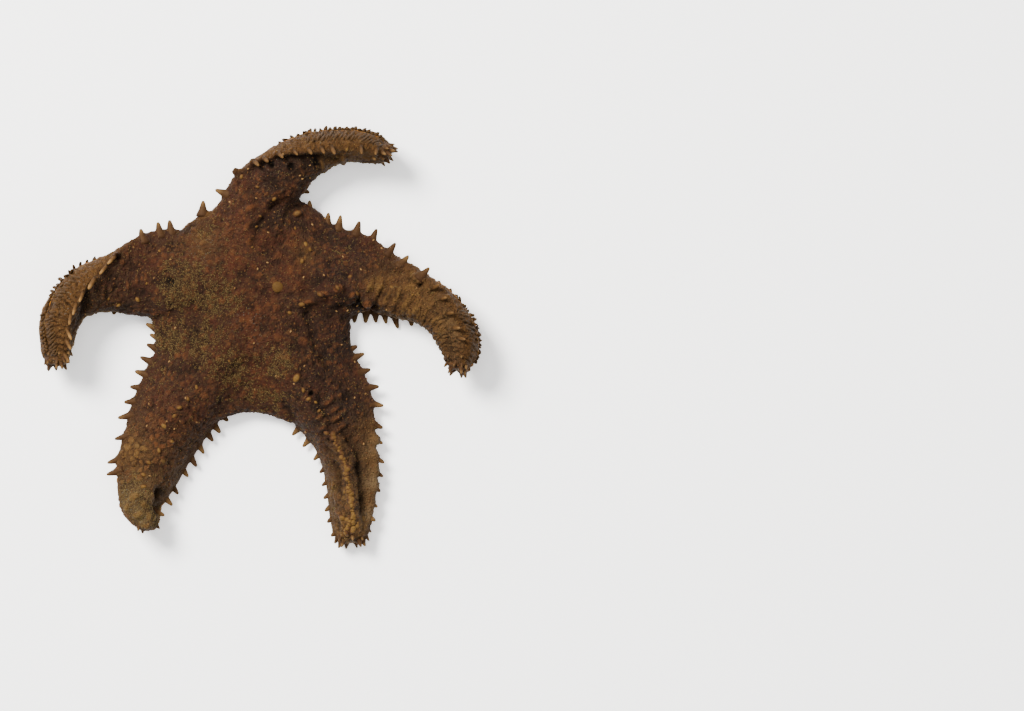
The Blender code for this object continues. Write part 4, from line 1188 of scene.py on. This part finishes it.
# Colours that soil and gild a spine, and the tint of its gloss.
SOIL = (0.024, 0.0132, 0.0056)
GOLD_ROOT = (0.09, 0.025, 0.004)
GOLD_TIP = (0.2, 0.082, 0.01)
LIMY_TINT = (1.0, 0.75, 0.5, 1.0)


def spine_material(name, root_colour, middle_colour, tip_colour, grain_size, soiled=0.0, gilded=0.0):
    """Limy spine: its colour runs from root to tip, soiled where it faces up, golden where down."""
    material, surface = dull_material(name, 0.6, 0.08, LIMY_TINT)
    build = Nodes(material.node_tree)
    grain = build.add("ShaderNodeGroup", {"node_tree": DRIED_GRAIN}, {
        "Grain Size": grain_size, "Speck Size": 0.5 * grain_size})
    tone = build.attribute("tone")
    shifted = build.times(build.math("SUBTRACT", tone, 0.5), 0.5)
    shifted = build.math("ADD", build.attribute("tip_share"), shifted)
    paleness = build.math("ADD", build.times(tone, 0.6), 0.4)
    normal = build.add("ShaderNodeNewGeometry").outputs["Normal"]
    facing = build.add("ShaderNodeSeparateXYZ", (), {"Vector": normal}).outputs[2]
    colour = build.lay(
        root_colour,
        (build.step(shifted, 0.0, 0.45), middle_colour),
        (build.times(build.step(shifted, 0.55, 1.0), paleness), tip_colour),
        (build.times(grain.outputs["Grains"], 0.35), root_colour),
        (build.times(build.step(facing, -0.75, -0.1), soiled), SOIL),
        (build.times(build.step(facing, -0.05, -0.45), gilded),
         build.mix(build.step(shifted, 0.2, 0.8), GOLD_ROOT, GOLD_TIP)),
    )
    build.put(surface.inputs["Base Color"], colour)
    bump = build.add("ShaderNodeBump", (), {
        "Height": grain.outputs["Height"], "Strength": 0.35, "Distance": 0.12 * MM})
    build.put(surface.inputs["Normal"], bump.outputs[0])
    return material


chance = random.Random(11)
UP = np.array((0.0, 0.0, 1.0))
# The spines that lean over an arm are golden left of this place, and dark right of it.
GOLDEN_LEFT_OF = -30.0
# Fans of spinelets round the tips: how far back from the tip, how many, how long.
TIP_FANS = ((0.5, 6, 1.2), (2.0, 9, 1.2), (4.2, 7, 1.0))
CURLED_TIP_FANS = ((1.0, 4, 0.8),)
margin_material = spine_material("margin spine", (0.02, 0.0088, 0.004), (0.029, 0.0135, 0.0055),
                                 (0.086, 0.047, 0.0165), 0.5, gilded=1.0)
spine_form = turned_form("spine_form", ((1.85, 0.0), (1.6, 0.18), (1.25, 0.34), (1.0, 0.5), (0.8, 0.66),
                                        (0.62, 0.81), (0.46, 0.92), (0.28, 0.98), (0.06, 1.0)), 9)
spots = []
lying_spots = []
for root, point, arm_way, lying in margin_spines:
    way = point - root
    reach = float(np.linalg.norm(way))
    width = chance.uniform(1.0, 1.15)
    if lying:
        # Those of the left arm are long, low and golden, the others short, steep and dark.
        golden = root[0] < GOLDEN_LEFT_OF
        length = reach * (chance.uniform(0.85, 1.15) if golden else chance.uniform(0.75, 1.05))
        lean = unit(way / reach + UP * (0.55 if golden else 1.2))
        width *= chance.uniform(0.42, 0.60)
        tone = chance.uniform(0.4, 1.0) if golden else chance.uniform(0.0, 0.35)
        if golden or chance.random() < 0.7:
            lying_spots.append((root + UP * 0.2, lean, UP, width, 0.9 * width, length, tone))
        continue
    spots.append((root, way / reach, UP, width, 0.72 * width, reach * chance.uniform(1.02, 1.12),
                  chance.uniform(0.1, 0.8)))
for arm in arms.values():
    for back, count_round, reach in CURLED_TIP_FANS if arm.name == "arm_4" else TIP_FANS:
        middle, way, side, top, half, crest, belly, crest_off, groove_off = arm.at(arm.length - back)
        for step in range(count_round):
            angle = 2 * math.pi * (step + chance.uniform(-0.3, 0.3)) / count_round
            rise = math.sin(angle) * (crest * abs(math.sin(angle)) if math.sin(angle) > 0 else 0.7 * belly)
            outward = side * math.cos(angle) + top * math.sin(angle)
            root = middle + side * math.cos(angle) * half * 0.8 + top * rise * 0.75
            lean = unit(outward * (0.45 + 0.10 * back) + way * 1.1)
            length_out = reach * chance.uniform(0.75, 1.15) + 0.9
            if root[2] + lean[2] * length_out < 0.4:
                continue
            width = chance.uniform(0.45, 0.62)
            spots.append((root, lean, UP, width, width, length_out, chance.uniform(0.3, 1.0)))
margin = plant("margin_spines", spine_form, spots, margin_material)
finger_form = turned_form("finger_form", ((1.0, 0.0), (1.0, 0.3), (0.95, 0.6), (0.82, 0.8), (0.55, 0.94),
                                          (0.15, 1.0)), 10)
finger_material = spine_material("lying spine", (0.022, 0.0105, 0.004), (0.05, 0.024, 0.008),
                                 (0.15, 0.078, 0.024), 0.5, gilded=1.0)
lying_spines = plant("lying_spines", finger_form, lying_spots, finger_material)
for piece in (margin, lying_spines):
    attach(piece, "root")


# The spines beside the grooves: flat golden blades, set like the teeth of a comb on each side of
# every groove, and bundles of slim ones on the five jaws that close the mouth.
# Where along an arm the blades start, how far before its tip they end, and their measures.
BLADES_FROM = 5.5
BLADES_END = 3.0
BLADE_PITCH = 1.5
BLADE_REACH = 2.6
BLADE_WIDTH = 0.60
# Where blades lie on a face that is turned up: how far in from the groove a row starts and ends,
# and the greatest drop that a blade bridges.
COMB_ROWS = ((1.9, 0.2), (3.1, 1.5))
COMB_DROP = 3.5
# The slim spines of a jaw: how many, spread in degrees, distance from the mouth.
JAW_SPINES = 11
JAW_SPREAD = 26
JAW_REACH = (4.0, 6.2)
# A height above the whole specimen.
ABOVE_ALL = 60.0
skin_copy = bmesh.new()
skin_copy.from_mesh(body.data)
body_tree = BVHTree.FromBMesh(skin_copy)
skin_copy.free()


def on_skin(start, way):
    """Where a line from a point, in millimetres from the mouth, first meets the skin."""
    found, normal = body_tree.ray_cast(Vector((np.array(start) + MOUTH_PLACE) * MM), Vector(way))[:2]
    if found is None:
        return None, None
    return np.array(found) / MM - MOUTH_PLACE, np.array(normal)


def skin_below(x, y):
    """Where the skin lies straight below a place in plan."""
    return on_skin((x, y, ABOVE_ALL), (0, 0, -1))


def level(vector):
    """The level part of a direction, with a length of 1."""
    return np.array((vector[0], vector[1], 0.0)) / math.hypot(vector[0], vector[1])


blade_material = spine_material("groove blade", (0.06, 0.017, 0.003), (0.17, 0.058, 0.005),
                                (0.32, 0.124, 0.008), 0.4, soiled=0.96)
blade_form = turned_form("blade_form", ((0.45, 0.0), (0.8, 0.2), (1.0, 0.46), (0.88, 0.7), (0.5, 0.9),
                                        (0.08, 1.0)), 6)


def comb_blades(spot, inward, onward, size):
    """Blades that lie on a face that is turned up, in two rows from the groove inwards."""
    laid = []
    for far, near in COMB_ROWS:
        feet = (spot + inward * far * size, spot + (inward * near + onward * 1.3) * size)
        heel, toe = [skin_below(foot[0], foot[1])[0] for foot in feet]
        if heel is None or toe is None or abs(toe[2] - heel[2]) > COMB_DROP:
            continue
        reach = np.linalg.norm(toe - heel)
        laid.append((heel + UP * 0.12, (toe - heel) / reach, UP, 0.46 * size, 0.42 * size, reach,
                     chance.uniform(0.2, 0.6)))
    return laid


def blades_at(arm, place, side_sign):
    """The blades beside a groove at one place, and how far on the next ones stand."""
    middle, way, side, top, half, crest, belly, crest_off, groove_off = arm.at(place)
    outward = side * side_sign
    size = min(1.0, 0.45 + half / 16.0)
    messy = 2.2 if arm.name == "arm_4" else chance.uniform(0.8, 1.8)
    offset = groove_off * half + side_sign * (slit_half(arm, place) * 1.3 + 0.4 * size)
    spot = on_skin(middle + side * offset - top * (belly + 6.0), top)[0]
    faces_up = smoothstep(0.35, -0.25, top[2])
    blades = []
    if spot is not None and np.dot(spot - middle, top) < 0.5:
        lean = outward * (1.0 - 0.55 * faces_up)
        lean -= top * (chance.uniform(0.20, 0.45) * messy + 0.10 * faces_up)
        lean -= way * (chance.uniform(0.05, 0.45) * messy * (1.0 - faces_up) - 0.65 * faces_up)
        lean = unit(lean)
        root = spot - outward * (0.15 + 0.65 * faces_up) * size + top * 0.1
        reach = BLADE_REACH * size * chance.uniform(0.7, 1.15) * (1.0 - 0.45 * faces_up)
        if root[2] + lean[2] * reach < 0.45:
            lean[2] = (0.45 - root[2]) / reach
        flat_side = UP * faces_up - top * (1.0 - faces_up)
        width = BLADE_WIDTH * size * chance.uniform(0.85, 1.1) * (1.0 - 0.1 * faces_up)
        blades.append((root, lean, flat_side, width, 0.34 * size, reach, chance.uniform(0.2, 0.9)))
        if faces_up > 0.25 and outward[2] > 0.0:
            blades += comb_blades(spot, level(top), level(way), size)
        outer_spot = on_skin(spot + outward * 2.5 * size - top * 6.0, top)[0]
        if outer_spot is not None and chance.random() < 0.6 * (1.0 - faces_up):
            flatter = unit(lean + top * 0.12 - way * chance.uniform(0.0, 0.4))
            reach = max(0.7, 1.9 * size * chance.uniform(0.7, 1.2))
            if outer_spot[2] + flatter[2] * reach > 0.3:
                blades.append((outer_spot - flatter * 0.4, flatter, -top, 0.66 * size, 0.40 * size,
                               reach, chance.uniform(-0.3, 0.2)))
        if chance.random() < 0.40 * (1.0 - faces_up):
            upright = unit(-top + outward * chance.uniform(-0.9, -0.2) - way * 0.3)
            room = (root[2] - 0.4) / max(0.2, -upright[2]) if upright[2] < 0 else 2.0
            blades.append((root + outward * 0.1, upright, way, 0.36 * size, 0.28 * size,
                           max(0.6, min(1.3 * size, room)), chance.uniform(0.0, 0.7)))
    pace = BLADE_PITCH * (0.55 + 0.45 * size)
    return blades, pace * chance.uniform(0.92, 1.08) * (1.0 - 0.30 * faces_up)


spots = []
for arm in arms.values():
    for side_sign in (1, -1):
        place = BLADES_FROM
        while place < arm.length - BLADES_END:
            grown, pace = blades_at(arm, place, side_sign)
            spots += grown
            place += pace
heads = sorted(math.atan2(arm.table[20, 1], arm.table[20, 0]) for arm in arms.values())
for index, head in enumerate(heads):
    following = heads[(index + 1) % 5]
    jaw = head + ((following - head) % (2 * math.pi)) / 2
    for step in range(JAW_SPINES):
        angle = jaw + math.radians(chance.uniform(-JAW_SPREAD, JAW_SPREAD))
        radius = chance.uniform(*JAW_REACH)
        start = np.array((radius * math.cos(angle), radius * math.sin(angle), -1.0))
        spot, normal = on_skin(start, (0, 0, 1))
        if spot is None or spot[2] > 4.0:
            continue
        lean = unit(np.array((-math.cos(angle + chance.uniform(-0.5, 0.5)),
                              -math.sin(angle + chance.uniform(-0.5, 0.5)), -chance.uniform(0.05, 0.4))))
        spots.append((spot, lean, -UP, 0.42, 0.32, chance.uniform(1.3, 2.1), chance.uniform(0.3, 1.0)))
blades = plant("groove_spines", blade_form, spots, blade_material)
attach(blades, "root")


# Knobs of the upper side: blunt limy lumps along the keels and a few between them.
# Each is set on the skin straight below its place in plan: x, y, radius, height, tone.
KEEL_KNOBS = (
    (12.5, -24, 1.25, 1.1, 0.9), (14.5, -27.5, 0.8, 0.9, 0.6), (16, -30, 0.8, 0.9, 0.7),
    (18, -31, 0.6, 1.3, 1), (19, -33.5, 0.7, 1, 0.5), (21, -40, 0.9, 0.7, 0.3),
    (26.4, -51.6, 0.7, 0.9, 0.7), (28.6, -59, 0.7, 0.9, 0.8), (30.2, -66.2, 0.6, 0.8, 0.8),
    (-16.5, -26.5, 0.7, 0.8, 0.6), (-19, -30, 0.8, 1.2, 0.5), (-21.5, -32.5, 0.9, 1.1, 0.7),
    (-23, -35, 0.8, 1, 0.6), (-26, -38, 1, 0.9, 1), (-23.6, -42.4, 0.7, 0.7, 0.9),
    (-27.5, -45, 0.8, 0.8, 0.8), (-30.5, -48.5, 0.9, 0.8, 0.5), (-32, -52, 0.9, 0.8, 0.6),
    (-32, -55.5, 0.9, 0.8, 0.8), (14, -2.5, 1.1, 1, 0.5), (19.3, 0.3, 1, 1, 0.3), (24.5, 2.2, 0.9, 1, 0.3),
    (30, 0.6, 0.9, 1, 0.3), (10.5, -5, 0.8, 0.8, 0.6), (-33.7, -1.2, 0.8, 1.1, 1),
    (-39.3, -2.8, 0.7, 1.2, 1), (-31, 3.5, 0.5, 0.6, 0.8), (-27.5, 13, 0.5, 0.5, 0.9),
    (-42, -1, 0.6, 0.7, 0.6), (12.5, 24, 1.2, 0.9, 0.4), (12, 19.5, 0.45, 0.8, 1), (6, 28, 0.9, 1, 0.7),
    (2, 23, 0.6, 0.8, 0.5), (0.8, 20, 0.6, 0.8, 0.5), (-0.3, 14, 0.5, 0.7, 0.6), (15, 15, 0.9, 0.6, 0.8),
    (16.4, 13.4, 0.7, 0.6, 0.7), (14, 10, 0.8, 0.6, 0.7), (46.2, 0.2, 0.4, 0.6, 1),
    (28, 5.5, 0.8, 0.7, 0.3), (40, 2.5, 0.8, 0.6, 0.5), (-16.5, -26.8, 0.6, 0.7, 0.7),
    (-3.5, 34.5, 0.8, 1, 0.6), (1.2, 31.5, 0.7, 0.8, 0.3), (-45.6, 4.2, 0.6, 1.2, 1),
    (27.3, 42.2, 0.6, 1.2, 1), (-7, -19, 0.5, 0.5, 0.7),
)
# Where a chain of rounded golden lumps follows the keel: course, pace, spread across, radius.
KNOB_CHAINS = (
    (((22.8, -40.6), (25.4, -46), (27, -51), (27.8, -57), (28.5, -62.5), (29.6, -67.5)), 0.80, 0.45, 0.78),
    (((25, -46), (26.8, -51), (27.6, -57), (28.4, -62.5), (29, -66)), 2, 1.60, 0.50),
    (((26.6, -64.6), (27, -68), (27.4, -70)), 0.55, 2, 0.75),
    (((-34, -44), (-36.5, -50), (-36.5, -55)), 2.6, 2.6, 0.60),
)
knob_material = spine_material("keel knob", (0.014, 0.0065, 0.004), (0.036, 0.015, 0.006),
                               (0.086, 0.046, 0.011), 0.5)
knob_form = turned_form("knob_form", ((1.25, 0.0), (1.12, 0.2), (0.98, 0.45), (0.85, 0.7), (0.6, 0.9),
                                      (0.25, 1.0)), 10)


def any_level_way():
    """A level direction drawn by chance."""
    return np.array((chance.uniform(-1, 1), chance.uniform(-1, 1), 0.0))


spots = []
for x, y, radius, height, tone in KEEL_KNOBS:
    spot, normal = skin_below(x, y)
    if spot is not None:
        tilt = np.array((chance.uniform(-0.25, 0.25), chance.uniform(-0.25, 0.25), 0.0))
        lean = unit(normal + UP * 0.4 + tilt)
        spots.append((spot - lean * 0.65, lean, any_level_way(), 1.15 * radius, 0.8 * radius,
                      0.65 * height + 0.5, 0.75 * tone))
for course, pace, spread, radius in KNOB_CHAINS:
    line = [np.array(corner) for corner in course]
    for start, end in zip(line, line[1:]):
        way = unit(end - start)
        for along in np.arange(0.0, np.linalg.norm(end - start), pace):
            x, y = start + way * along + np.array((-way[1], way[0])) * chance.uniform(-spread, spread)
            spot, normal = skin_below(x, y)
            if spot is not None:
                size = radius * chance.uniform(0.65, 1.35)
                flat_side = any_level_way()
                paler = min(1.0, max(0.0, (-38.0 - y) / 30.0)) * (0.55 if x > 0.0 else 0.4)
                spots.append((spot - normal * 0.6, normal, flat_side, 1.15 * size, 0.9 * size,
                              0.55 + 0.45 * size, paler + chance.uniform(0.0, 0.35)))
knobs = plant("keel_knobs", knob_form, spots, knob_material)
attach(knobs, "root")


# Limy grains that the skin holds: granules, crowded in khaki patches above and in cream ones
# below, single spinelets between them, and low rounded plates that pave the outer arms.
def strewn_tree():
    """Strews a form over a skin, where a named share allows it, standing on the surface."""
    tree = Tree("strewn on skin", (("Form", "Object"), ("Share", "String"), ("Spacing", "Float"),
                                   ("Crowding", "Float"), ("Least Size", "Float"), ("Most Size", "Float"),
                                   ("Height", "Float"), ("Elongation", "Float"), ("Seed", "Int"),
                                   ("Material", "Material")))
    given = tree.given.outputs
    form = tree.add("GeometryNodeObjectInfo", (), {"Object": given["Form"]}).outputs["Geometry"]
    spread = tree.add("GeometryNodeDistributePointsOnFaces", {"distribute_method": "POISSON"}, {
        "Mesh": given["Geometry"], "Distance Min": given["Spacing"], "Density Max": given["Crowding"],
        "Density Factor": tree.named(given["Share"], "FLOAT"), "Seed": given["Seed"]})
    size = tree.add("FunctionNodeRandomValue", {"data_type": "FLOAT"}, {
        2: given["Least Size"], 3: given["Most Size"], "Seed": given["Seed"]}).outputs[1]
    tone = tree.add("FunctionNodeRandomValue", {"data_type": "FLOAT"}, {"Seed": given["Seed"]}).outputs[1]
    kept = tree.add("GeometryNodeStoreNamedAttribute", {"data_type": "FLOAT", "domain": "POINT"}, {
        0: spread.outputs["Points"], "Name": "tone", "Value": tone}).outputs[0]
    tall = tree.times(size, given["Height"])
    long_side = tree.times(size, given["Elongation"])
    scale = tree.add("ShaderNodeCombineXYZ", (), {0: long_side, 1: size, 2: tall}).outputs[0]
    angle = tree.add("FunctionNodeRandomValue", {"data_type": "FLOAT"}, {3: math.pi, "Seed": 7}).outputs[1]
    spin = tree.add("ShaderNodeCombineXYZ", (), {2: angle}).outputs[0]
    spin = tree.add("FunctionNodeEulerToRotation", (), {0: spin}).outputs[0]
    turned = tree.add("FunctionNodeRotateRotation", {"rotation_space": "LOCAL"}, {
        0: spread.outputs["Rotation"], 1: spin}).outputs[0]
    planted = tree.add("GeometryNodeInstanceOnPoints", (), {
        "Points": kept, "Instance": form, "Rotation": turned, "Scale": scale})
    return tree.finish(planted.outputs[0])


STREWN = strewn_tree()
granule_mesh = bpy.data.meshes.new("granule_form")
corners = [math.radians(angle) for angle in (90, 210, 330)]
granule_mesh.from_pydata([(math.cos(angle), math.sin(angle), -0.3) for angle in corners] + [(0.1, 0.0, 0.95)],
                         [], [(0, 2, 1), (0, 1, 3), (1, 2, 3), (2, 0, 3)])
granule_mesh.shade_smooth()
granule_form = bpy.data.objects.new("granule_form", granule_mesh)
spinelet_form = turned_form("spinelet_form", ((1.0, -0.4), (0.9, 0.4), (0.4, 0.95)), 6)
plate_form = turned_form("plate_form", ((1.1, -0.5), (1.0, 0.2), (0.78, 0.75), (0.3, 1.0)), 7)
BROWN_GRAIN = (0.024, 0.0115, 0.005)
GOLDEN_GRAIN = (0.1, 0.036, 0.005)
PALE_GRAIN = (0.16, 0.09, 0.034)


def granule_material(name, above, under, pale_share):
    """Limy grain: one colour above and another below, some of them paler."""
    material, surface = dull_material(name, 0.65, 0.08, LIMY_TINT)
    build = Nodes(material.node_tree)
    tone = build.attribute("tone")
    drawn = build.step(tone, 0.0, 0.8)
    colour = build.lay(
        build.mix(drawn, BROWN_GRAIN, above),
        (build.times(build.attribute("below"), build.rest(build.attribute("skyward"))),
         build.mix(drawn, GOLDEN_GRAIN, under)),
        (build.step(tone, 1.0 - pale_share, 1.0), PALE_GRAIN),
    )
    build.put(surface.inputs["Base Color"], colour)
    return material


# The middle of the sieve plate in plan: no spinelet stands on it.
SIEVE_PLACE = (7.0, 2.5)
from_sieve = np.hypot(points[:, 0] - SIEVE_PLACE[0], points[:, 1] - SIEVE_PLACE[1])
bare = smoothstep(1.9, 2.6, from_sieve) + below
open_skin = 1.0 - inside_slit
cream_share = 0.9 * cream * np.clip(0.4 + ragged, 0.0, 1.0) * (1.0 - skyward)
store(body, "granules", np.clip(0.04 + 0.80 * khaki + cream_share, 0.0, 1.0) * open_skin)
low_plate_share = 0.45 * patch_mask(PAVED_PATCHES) * above + 0.4 * outer_share * below * (1.0 - skyward)
store(body, "low_plates", low_plate_share * open_skin)
spinelet_share = np.where(below > 0.5, 0.25 * (1.0 - skyward), 1.0 - 0.6 * khaki)
store(body, "spinelets", spinelet_share * open_skin * bare)
# Name, form, spacing, crowding, least and most size, height, elongation, seed and material.
STREWN_KINDS = (
    ("granules", granule_form, 0.21, 2.0e7, 0.10, 0.17, 1.2, 2.0, 3,
     granule_material("granule", (0.094, 0.064, 0.023), (0.26, 0.15, 0.045), 0.01)),
    ("low_plates", plate_form, 1.5, 2.4e5, 0.45, 0.85, 0.25, 1.15, 5,
     granule_material("low plate", (0.05, 0.027, 0.009), (0.17, 0.062, 0.006), 0.0)),
    ("spinelets", spinelet_form, 1.15, 3.0e5, 0.11, 0.26, 1.0, 1.7, 8,
     granule_material("spinelet", (0.05, 0.022, 0.0085), (0.2, 0.075, 0.01), 0.05)),
)
for name, form, spacing, crowding, least, most, height, elongation, seed, material in STREWN_KINDS:
    piece = add_object(name, body.data.copy())
    grow(piece, STREWN, {
        "Form": form, "Share": name, "Spacing": spacing * MM, "Crowding": crowding, "Seed": seed,
        "Least Size": least * MM, "Most Size": most * MM, "Height": height, "Elongation": elongation,
        "Material": material})
    above_floor(piece)
    piece.data.name = name
    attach(piece, "root")


# The sieve plate: a low round limy button off the middle of the disc, finely furrowed.
# It sits in a shallow seat in the skin.
SIEVE_RADIUS = 1.6
seat = skin_below(*SIEVE_PLACE)[0]
sieve_shape = bmesh.new()
sieve_rings = []
for share, height in ((0.9, -1.0), (1.0, -0.6), (1.0, 0.05), (0.96, 0.28)) + tuple(
        (s, 0.28 + 0.42 * (1 - (s / 0.96) ** 2.2)) for s in np.linspace(0.9, 0.06, 14)):
    ring = []
    for step in range(72):
        angle = math.radians(5.0 * step)
        furrow = math.sin(13 * angle + 2.4 * math.sin(9.0 * share) + 2.0 * share)
        radius = SIEVE_RADIUS * share * (1.0 + 0.03 * math.sin(3 * angle + 1.0))
        low = 0.10 * max(0.0, furrow) * min(1.0, 2.5 * share) if height > 0.2 else 0.0
        ring.append((seat[0] + radius * math.cos(angle), seat[1] + radius * math.sin(angle),
                     seat[2] + height - low))
    sieve_rings.append(ring)
skin_tube(sieve_shape, sieve_rings)
sieve = placed_mesh("sieve_plate", sieve_shape)
sieve.data.shade_smooth()
store(sieve, "tip_share", [0.75] * len(sieve.data.vertices))
store(sieve, "tone", [0.45] * len(sieve.data.vertices))
sieve.data.materials.append(spine_material("sieve plate", (0.022, 0.011, 0.003), (0.044, 0.022, 0.006),
                                           (0.052, 0.027, 0.0075), 0.45))
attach(sieve, "root")
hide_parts("madreporite")

for form in (spine_form, finger_form, blade_form, knob_form, granule_form, spinelet_form, plate_form):
    bpy.data.objects.remove(form)
